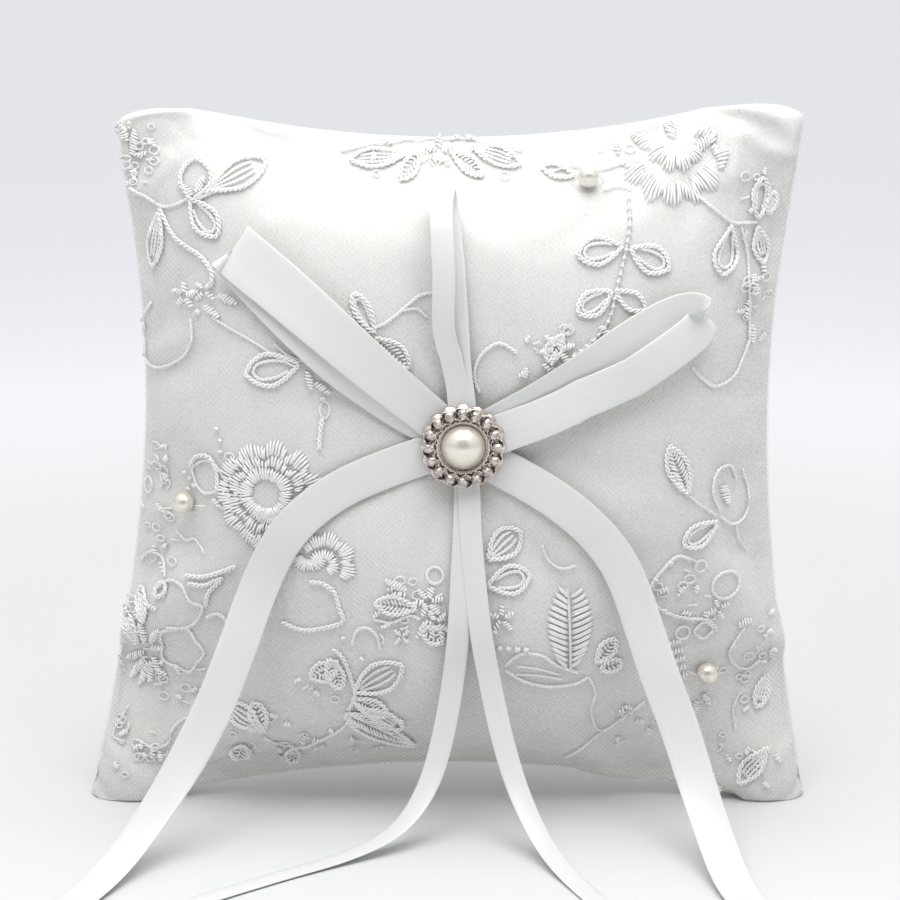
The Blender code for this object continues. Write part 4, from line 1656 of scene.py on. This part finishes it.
@dataclass
class Bow:
    """The ribbons tacked under the brooch: three loops that stay put, and four free tails.

    A stop is x, z and lift on the face, or x, y and z in the air, in millimetres.
    """

    cushion: StuffedCushion
    wide: float = 10.5
    narrow: float = 6.0
    step: float = 1.3
    even: int = 5
    held_run: float = 7.0
    bend_run: float = 18.0
    across_even: int = 8
    # A tail stays this far in front of the net, above floor_zone and within side_zone of the middle.
    clear: float = 1.6
    floor_zone: float = 8.0
    side_zone: float = 90.0
    # It lies flat at flat_z and faces forward from turn_rise above that.
    flat_z: float = 2.0
    turn_rise: float = 45.0

    def _laid(self, stops: Sequence[Sequence[float]]) -> list[Vector]:
        """Lays a line of stops on the face.

        Args:
            stops: x, z and lift of each.

        Returns:
            Its places, in metres.
        """
        line = spaced(rounded(stops, spans=12), self.step)
        return evened([self.cushion.on_face(*stop)[0] for stop in line], self.even)

    def loop(
        self,
        name: str,
        node: str,
        width: float,
        stops: Sequence[Sequence[float]],
        across: Pair,
        swell: float = 0.0,
    ) -> None:
        """Makes a folded loop.

        Args:
            name: Its name.
            node: The CAD node that it stands for.
            width: The ribbon's width.
            stops: x, z and lift along it, out to its fold and back.
            across: The direction of its width on the face, as x and z.
            swell: How much wider it is at its fold, as a share of its width.
        """
        places = self._laid(stops)
        acrosses = []
        for place in places:
            _, out = self.cushion.on_face(place.x / MM, place.z / MM)
            level = Vector((across[0], 0, across[1]))
            acrosses.append((level - out * level.dot(out)).normalized())
        made = Ribbon(name, width, RIBBON, swell=swell).make(places, evened(acrosses, self.across_even))
        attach(made, CUSHION)
        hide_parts(node)

    def tail(
        self,
        name: str,
        width: float,
        laid: Sequence[Sequence[float]],
        free: Sequence[Sequence[float]],
    ) -> None:
        """Makes a tail, tacked at its root and free from there on.

        Args:
            name: The CAD node that it stands for; its own name adds to it.
            width: The ribbon's width.
            laid: x, z and lift of the stops on the face.
            free: x, y and z of the stops after them.
        """
        stops = [tuple(self.cushion.on_face(*stop)[0] / MM) for stop in laid]
        for x, y, z in free:
            near, _ = self.cushion.on_face(x, z, self.clear)
            front = near.y / MM
            on_cloth = z > self.floor_zone and abs(x) < self.side_zone
            stops.append((x, min(y, front) if on_cloth else y, z))
        places = evened([Vector(p) * MM for p in spaced(rounded(stops, spans=12), self.step)], self.even)
        last = len(places) - 1
        acrosses = []
        for i, place in enumerate(places):
            along = (places[min(i + 1, last)] - places[max(i - 1, 0)]).normalized()
            upright = min(max((place.z / MM - self.flat_z) / self.turn_rise, 0.0), 1.0)
            acrosses.append(along.cross(Vector((0, -upright, 1 - upright))).normalized())
        made = Ribbon(f"{name}_satin", width, RIBBON).make(places, acrosses)
        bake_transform(made)
        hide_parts(name)
        length = sum((b - a).length for a, b in zip(places, places[1:]))
        LOG.info("%s is %.1f mm long", name, length / MM)

    def build(self) -> None:
        """Makes the loops and the tails."""
        self.loop(
            "left_loop_satin",
            "wide_bow_left_loop",
            self.wide,
            [
                (2.7, 107.6, 1.6),
                (-9.5, 114.8, 1.9),
                (-28.5, 129.2, 2.2),
                (-44, 144, 2.4),
                (-55, 155.5, 2.4),
                (-59.5, 160.5, 3.3),
                (-55.5, 157, 4.2),
                (-42, 146.5, 4.2),
                (-25, 132, 4.0),
                (-6.5, 115.8, 2.6),
                (2.3, 107.2, 2.4),
            ],
            (0.66, 0.75),
            0.4,
        )
        self.loop(
            "right_loop_satin",
            "wide_bow_right_loop",
            self.wide,
            [
                (4.4, 107.6, 2.45),
                (14, 113.6, 2.2),
                (31, 124.8, 2.6),
                (48.5, 135.8, 2.8),
                (61, 142, 3.0),
                (68, 142, 4.2),
                (65, 137.5, 5.4),
                (52, 128.5, 5.6),
                (35, 118.5, 4.8),
                (16, 110.4, 3.2),
                (4.8, 107, 3.0),
            ],
            (-0.46, 0.89),
        )
        self.loop(
            "upright_loop_satin",
            "ring_ribbon_loop",
            self.narrow,
            [
                (3.6, 108.2, 3.6),
                (4.4, 114, 3.2),
                (4.2, 121, 2.1),
                (2.4, 140, 2.0),
                (0.6, 158, 2.2),
                (-0.8, 169, 3.0),
                (-1.8, 173.5, 5.5),
                (-2.4, 169, 8.0),
                (-1.6, 158, 7.2),
                (-0.2, 140, 5.4),
                (2.4, 121, 2.8),
                (3.1, 114, 3.8),
                (3.4, 108.2, 4.2),
            ],
            (1.0, 0.08),
        )
        self.tail(
            "wide_left_tail",
            self.wide,
            [(-2, 105.6, 1.4), (-9.3, 103.7, 1.4), (-20, 100, 1.8), (-32, 94, 2.0), (-43, 84, 3.0)],
            [
                (-51, -33, 70),
                (-57, -38, 54),
                (-63, -43, 39),
                (-71, -49, 24),
                (-80, -57, 11),
                (-88, -70, 3),
                (-95, -86, 0.9),
                (-104, -106, 0.7),
                (-113, -124, 0.7),
            ],
        )
        self.tail(
            "wide_right_tail",
            self.wide,
            [(8, 103.6, 1.4), (14.7, 100.1, 1.4), (26, 94, 1.8), (36, 86.5, 2.2), (45, 76, 3.2)],
            [
                (51, -35, 62),
                (56, -39.5, 47),
                (61.5, -44, 33),
                (66, -51, 19),
                (70, -62, 8),
                (73, -77, 2),
                (77, -93, 0.8),
                (82, -110, 0.7),
                (86, -124, 0.7),
            ],
        )
        self.tail(
            "ring_ribbon_left_tail",
            self.narrow,
            [(4.3, 102, 1.3), (4.2, 94.3, 1.4), (3.8, 84, 1.6), (3.0, 72, 1.8), (2.2, 58, 3.0)],
            [
                (1, -34.5, 44),
                (-1.6, -37, 29),
                (-6, -42, 15),
                (-14, -49, 5.5),
                (-27, -57, 1.4),
                (-43, -68, 0.6),
                (-60, -82, 0.6),
                (-76, -96, 0.6),
            ],
        )
        self.tail(
            "ring_ribbon_right_tail",
            self.narrow,
            [(4.7, 102, 2.1), (4.9, 94.3, 2.2), (5.2, 84, 2.3), (6.2, 72, 2.6), (8.2, 57, 4.0)],
            [
                (11, -36.5, 42),
                (14.5, -41, 27),
                (19, -47, 14),
                (25, -57, 4.5),
                (31, -70, 1),
                (37.5, -86, 0.6),
                (44, -103, 0.6),
                (51, -120, 0.6),
            ],
        )


@dataclass
class Turned:
    """Meshes turned about an axis that points out of the face."""

    centre: Vector
    segments: int = 64

    def at(self, radius: float, angle: float, out: float) -> Vector:
        """Gives a point from its radius, angle and height in front of the centre, in millimetres and radians."""
        return self.centre + Vector((radius * math.cos(angle), -out, radius * math.sin(angle))) * MM

    def solid(
        self,
        profile: Sequence[Pair],
        points: list[Vector],
        faces: list[tuple[int, ...]],
        lobes: int = 0,
        dip: float = 0.0,
        loop: bool = False,
    ) -> None:
        """Turns a profile and adds it to a mesh.

        Args:
            profile: Radius and height pairs, from the back to the front. A first or last radius of 0 closes it.
            points: The mesh's points, which grow.
            faces: The mesh's faces, which grow.
            lobes: How many scallops its rim has.
            dip: How deep they are, in millimetres.
            loop: Whether the profile comes back to its start.
        """
        rings = []
        widest = max(r for r, _ in profile)
        for radius, out in profile:
            if radius == 0:
                rings.append([len(points)])
                points.append(self.at(0, 0, out))
                continue
            ring = []
            for k in range(self.segments):
                angle = 2 * math.pi * k / self.segments
                cut = dip * (1 - abs(math.cos(lobes * angle / 2))) if lobes and radius > 0.85 * widest else 0.0
                ring.append(len(points))
                points.append(self.at(radius - cut, angle, out))
            rings.append(ring)
        pairs = list(zip(rings, rings[1:])) + ([(rings[-1], rings[0])] if loop else [])
        for low, high in pairs:
            for k in range(self.segments):
                after = (k + 1) % self.segments
                if len(low) == 1:
                    faces.append((low[0], high[after], high[k]))
                elif len(high) == 1:
                    faces.append((low[k], low[after], high[0]))
                else:
                    faces.append((low[k], low[after], high[after], high[k]))


@dataclass
class Brooch:
    """The round brooch: a cast setting with a scalloped rim, sixteen cut stones and a domed pearl."""

    stones: int = 16
    stone_radius: float = 1.6
    stone_circle: float = 9.2
    rim: float = 11.8
    pearl_radius: float = 6.3
    pearl_top: float = 6.5
    # The rows of a stone's corners, from its table to its point: share of the radius, height and turn.
    stone_rows: tuple[tuple[float, float, float], ...] = (
        (0.52, 3.95, 0.0),
        (0.78, 3.62, 0.5),
        (1.0, 3.1, 0.0),
        (1.0, 2.9, 0.0),
        (0.1, 1.6, 0.0),
    )

    def __post_init__(self) -> None:
        """Finds the brooch's centre on its back plane."""
        low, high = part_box("brooch_setting")
        self.centre = Vector(((low[0] + high[0]) / 2, high[1], (low[2] + high[2]) / 2))

    def _add(self, name: str, node: str, points: Any, faces: Any, material: Any, smooth: bool) -> None:
        """Adds a piece of the brooch that stands for a CAD node."""
        made = add_piece(name, points, faces, material, smooth)
        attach(made, CUSHION)
        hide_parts(node)

    def _setting(self) -> None:
        """Makes the plate, the stone cups with their claws, and the beaded collar."""
        points: list[Vector] = []
        faces: list[tuple[int, ...]] = []
        plate = Turned(self.centre, 128)
        edge = self.rim
        plate.solid(
            [(0, 0.05), (edge - 0.5, 0.05), (edge - 0.1, 0.5), (edge - 0.4, 1.1), (7.0, 1.3), (0, 1.3)],
            points,
            faces,
            self.stones,
            0.9,
        )
        collar = [(6.45, 1.2), (7.3, 1.2), (7.35, 2.2), (7.0, 2.6), (6.6, 2.5), (6.45, 2.2)]
        Turned(self.centre, 64).solid(collar, points, faces, loop=True)
        beads = 32
        for k in range(beads):
            spot = Turned(self.centre, 8).at(7.05, 2 * math.pi * (k + 0.5) / beads, 2.6)
            self._ball(points, faces, spot, 0.42, 0.42)
        for k in range(self.stones):
            angle = 2 * math.pi * (k + 0.25) / self.stones
            middle = Turned(self.centre, 64).at(self.stone_circle, angle, 0)
            cup = [(1.35, 1.2), (1.85, 1.2), (1.85, 2.7), (1.7, 3.0), (1.5, 2.9), (1.4, 2.2)]
            Turned(middle, 20).solid(cup, points, faces, loop=True)
            for claw in range(4):
                lean = angle + math.radians(45 + 90 * claw)
                spot = Turned(middle, 8).at(1.62, lean, 3.25)
                self._ball(points, faces, spot, 0.36, 0.55)
        self._add(
            "cast_setting", "brooch_setting", points, faces, RosyPlating().material(), True
        )

    @staticmethod
    def _ball(points: Any, faces: Any, spot: Vector, radius: float, tall: float) -> None:
        """Adds a small ball, taller out of the face where tall is more than radius."""
        steps = 6
        profile = [(0.0, -tall)]
        for k in range(1, steps):
            turn = math.pi * k / steps
            profile.append((radius * math.sin(turn), -tall * math.cos(turn)))
        profile.append((0.0, tall))
        Turned(spot, 10).solid(profile, points, faces)

    def _stones(self) -> None:
        """Makes the cut stones: a table, eight star and sixteen crown facets, and a girdle each."""
        glass = FoiledGlass().material()
        nodes = sorted(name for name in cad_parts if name.startswith("rhinestone"))
        for k, node in enumerate(nodes):
            low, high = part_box(node)
            middle = Vector(((low[0] + high[0]) / 2, self.centre.y, (low[2] + high[2]) / 2))
            place = Turned(middle, 8)
            twist = 0.37 * k
            points = []
            for share, out, shift in self.stone_rows:
                for j in range(8):
                    turn = twist + 2 * math.pi * (j + shift) / 8
                    points.append(place.at(self.stone_radius * share, turn, out))
            faces: list[tuple[int, ...]] = [tuple(range(8))]
            for j in range(8):
                after = (j + 1) % 8
                faces.append((j, 8 + j, after))
                faces.append((after, 8 + j, 16 + after))
                faces.append((8 + j, 16 + j, 16 + after))
                faces.append((j, 16 + j, 8 + j))
                faces.append((16 + j, 24 + j, 24 + after, 16 + after))
                faces.append((24 + j, 32 + j, 32 + after, 24 + after))
            faces.append(tuple(range(39, 31, -1)))
            self._add(f"cut_stone_{k + 1:02d}", node, points, faces, glass, False)

    def build(self) -> None:
        """Makes the whole brooch."""
        self._setting()
        self._stones()
        points: list[Vector] = []
        faces: list[tuple[int, ...]] = []
        steps = 28
        base = self.pearl_top - self.pearl_radius
        profile = [(0.0, base - 0.1)]
        for k in range(steps):
            turn = math.pi / 2 * k / steps
            profile.append((self.pearl_radius * math.cos(turn), base + self.pearl_radius * math.sin(turn)))
        profile.append((0.0, self.pearl_top))
        Turned(self.centre, 72).solid(profile, points, faces)
        self._add("pearl_dome", "brooch_centre_pearl", points, faces, PEARL, True)


@dataclass
class SewnPearls:
    """The three pearl beads on the net, each with its stitch of thread."""

    cushion: StuffedCushion
    radius: float = 3.0
    sink: float = 0.35

    def build(self) -> None:
        """Makes every bead and its stitch."""
        thread = TwistedThread("cotton_thread_waxed", "#F6F4EE", "#E9E6DE").material()
        for node in sorted(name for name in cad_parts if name.startswith("sewn_pearl")):
            low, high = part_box(node)
            x = (low[0] + high[0]) / 2 / MM
            z = (low[2] + high[2]) / 2 / MM
            spot, out = self.cushion.on_face(x, z, self.radius - self.sink)
            points: list[Vector] = []
            faces: list[tuple[int, ...]] = []
            steps = 24
            profile = [(0.0, -self.radius)]
            for k in range(1, steps):
                turn = math.pi * k / steps
                profile.append((self.radius * math.sin(turn), -self.radius * math.cos(turn)))
            profile.append((0.0, self.radius))
            Turned(spot, 40).solid(profile, points, faces)
            made = add_piece(node.replace("sewn_", "") + "_bead", points, faces, PEARL)
            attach(made, CUSHION)
            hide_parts(node)
            self._stitch(node.replace("sewn_pearl", "pearl_thread"), x, z, thread)

    def _stitch(self, node: str, x: float, z: float, thread: bpy.types.Material) -> None:
        """Makes the thread that enters a bead from both sides."""
        strands = Strands()
        for way in (-1, 1):
            route, outs = [], []
            for reach, lift in ((4.6, -0.1), (4.1, 0.5), (3.5, 1.5), (2.9, 2.4)):
                place, out = self.cushion.on_face(x + way * reach, z + 0.25 * way, lift)
                route.append(place)
                outs.append(out)
            strands.tube(route, outs, 0.2 * MM, 0.2 * MM)
        made = add_piece(node + "_stitch", strands.points, strands.faces, thread)
        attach(made, CUSHION)
        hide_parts(node)


@dataclass
class Studio:
    """The paper floor, the soft light from above and the camera."""

    target: Vector = field(default_factory=lambda: Vector((0, 0, 0.0995)))
    distance: float = 0.65
    elevation: float = 12.0
    lens: float = 92.5
    floor: float = 30.0
    wall: float = 0.42
    ceiling: float = 1.10
    dim: float = 0.06
    # The room dims round this direction, between these two cosines from it.
    dark_side: tuple[float, float, float] = (0.0, -0.96, 0.28)
    dim_start: float = 0.78
    dim_end: float = 0.97
    lamp_place: tuple[float, float, float] = (0.0, -0.14, 0.62)
    lamp_side: float = 0.55
    lamp_power: float = 3.1

    def _camera(self) -> None:
        """Places the camera."""
        lens = bpy.data.cameras.new("camera")
        lens.lens = self.lens
        lens.sensor_width = 36
        camera = bpy.data.objects.new("camera", lens)
        bpy.context.scene.collection.objects.link(camera)
        rise = math.radians(self.elevation)
        away = Vector((0, -math.cos(rise), math.sin(rise))) * self.distance
        camera.location = self.target + away
        camera.rotation_euler = (-away).to_track_quat("-Z", "Y").to_euler()
        bpy.context.scene.camera = camera

    def _floor(self) -> None:
        """Makes the paper."""
        half = self.floor
        points = [(-half, -half, 0), (half, -half, 0), (half, half, 0), (-half, half, 0)]
        mesh = bpy.data.meshes.new("paper_floor")
        mesh.from_pydata(points, [], [(0, 1, 2, 3)])
        mesh.materials.append(StudioPaper().material())
        paper = bpy.data.objects.new("paper_floor", mesh)
        bpy.context.scene.collection.objects.link(paper)

    def _sky(self) -> None:
        """Makes the room: white above and behind, and darker where the photographer stands."""
        world = bpy.data.worlds.new("white_room")
        bpy.context.scene.world = world
        world.use_nodes = True
        tree = world.node_tree
        place = add_node(tree, "ShaderNodeTexCoord")
        apart = add_node(tree, "ShaderNodeSeparateXYZ", links={0: place.outputs["Generated"]})
        height = add_node(
            tree,
            "ShaderNodeMapRange",
            {"From Min": 0.0, "From Max": 1.0, "To Min": self.wall, "To Max": self.ceiling},
            {"Value": apart.outputs["Z"]},
        )
        toward = add_node(
            tree,
            "ShaderNodeVectorMath",
            {1: self.dark_side},
            {0: place.outputs["Generated"]},
            operation="DOT_PRODUCT",
        )
        dimming = add_node(
            tree,
            "ShaderNodeMapRange",
            {"From Min": self.dim_start, "From Max": self.dim_end, "To Min": 1.0, "To Max": self.dim},
            {"Value": toward.outputs["Value"]},
            interpolation_type="SMOOTHSTEP",
        )
        strength = add_node(
            tree,
            "ShaderNodeMath",
            links={0: height.outputs[0], 1: dimming.outputs[0]},
            operation="MULTIPLY",
        )
        back = tree.nodes["Background"]
        back.inputs["Color"].default_value = (0.985, 0.99, 1.0, 1.0)
        tree.links.new(strength.outputs[0], back.inputs["Strength"])

    def _softbox(self) -> None:
        """Hangs the softbox, which points at the target."""
        lamp = bpy.data.lights.new("overhead_softbox", "AREA")
        lamp.shape = "SQUARE"
        lamp.size = self.lamp_side
        lamp.energy = self.lamp_power
        made = bpy.data.objects.new("overhead_softbox", lamp)
        bpy.context.scene.collection.objects.link(made)
        made.location = self.lamp_place
        made.visible_camera = False
        made.rotation_euler = (self.target - Vector(self.lamp_place)).to_track_quat("-Z", "Y").to_euler()

    def build(self) -> None:
        """Makes the whole studio."""
        self._camera()
        self._floor()
        self._sky()
        self._softbox()
        bpy.context.scene.view_settings.view_transform = "Standard"


RIBBON = RibbonSatin().material()
PEARL = PearlCoat().material()


def dress_threads() -> None:
    """Gives the threads that the model keeps the finish of real thread."""
    thread = TwistedThread("polyester_thread_spun", "#F5F4F1", "#E8E7E3").material()
    for name in ("centre_tack_thread", "closing_seam_thread"):
        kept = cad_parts[name]
        kept.data.materials.clear()
        kept.data.materials.append(thread)
        LOG.info("%s: dressed", name)


def main() -> None:
    """Builds the pillow and its studio."""
    logging.basicConfig(level=logging.INFO, format="%(message)s")
    Studio().build()
    cushion = StuffedCushion()
    Bow(cushion).build()
    cushion.build()
    Embroidery(cushion).build()
    Brooch().build()
    SewnPearls(cushion).build()
    dress_threads()


if __name__ == "__main__":
    main()
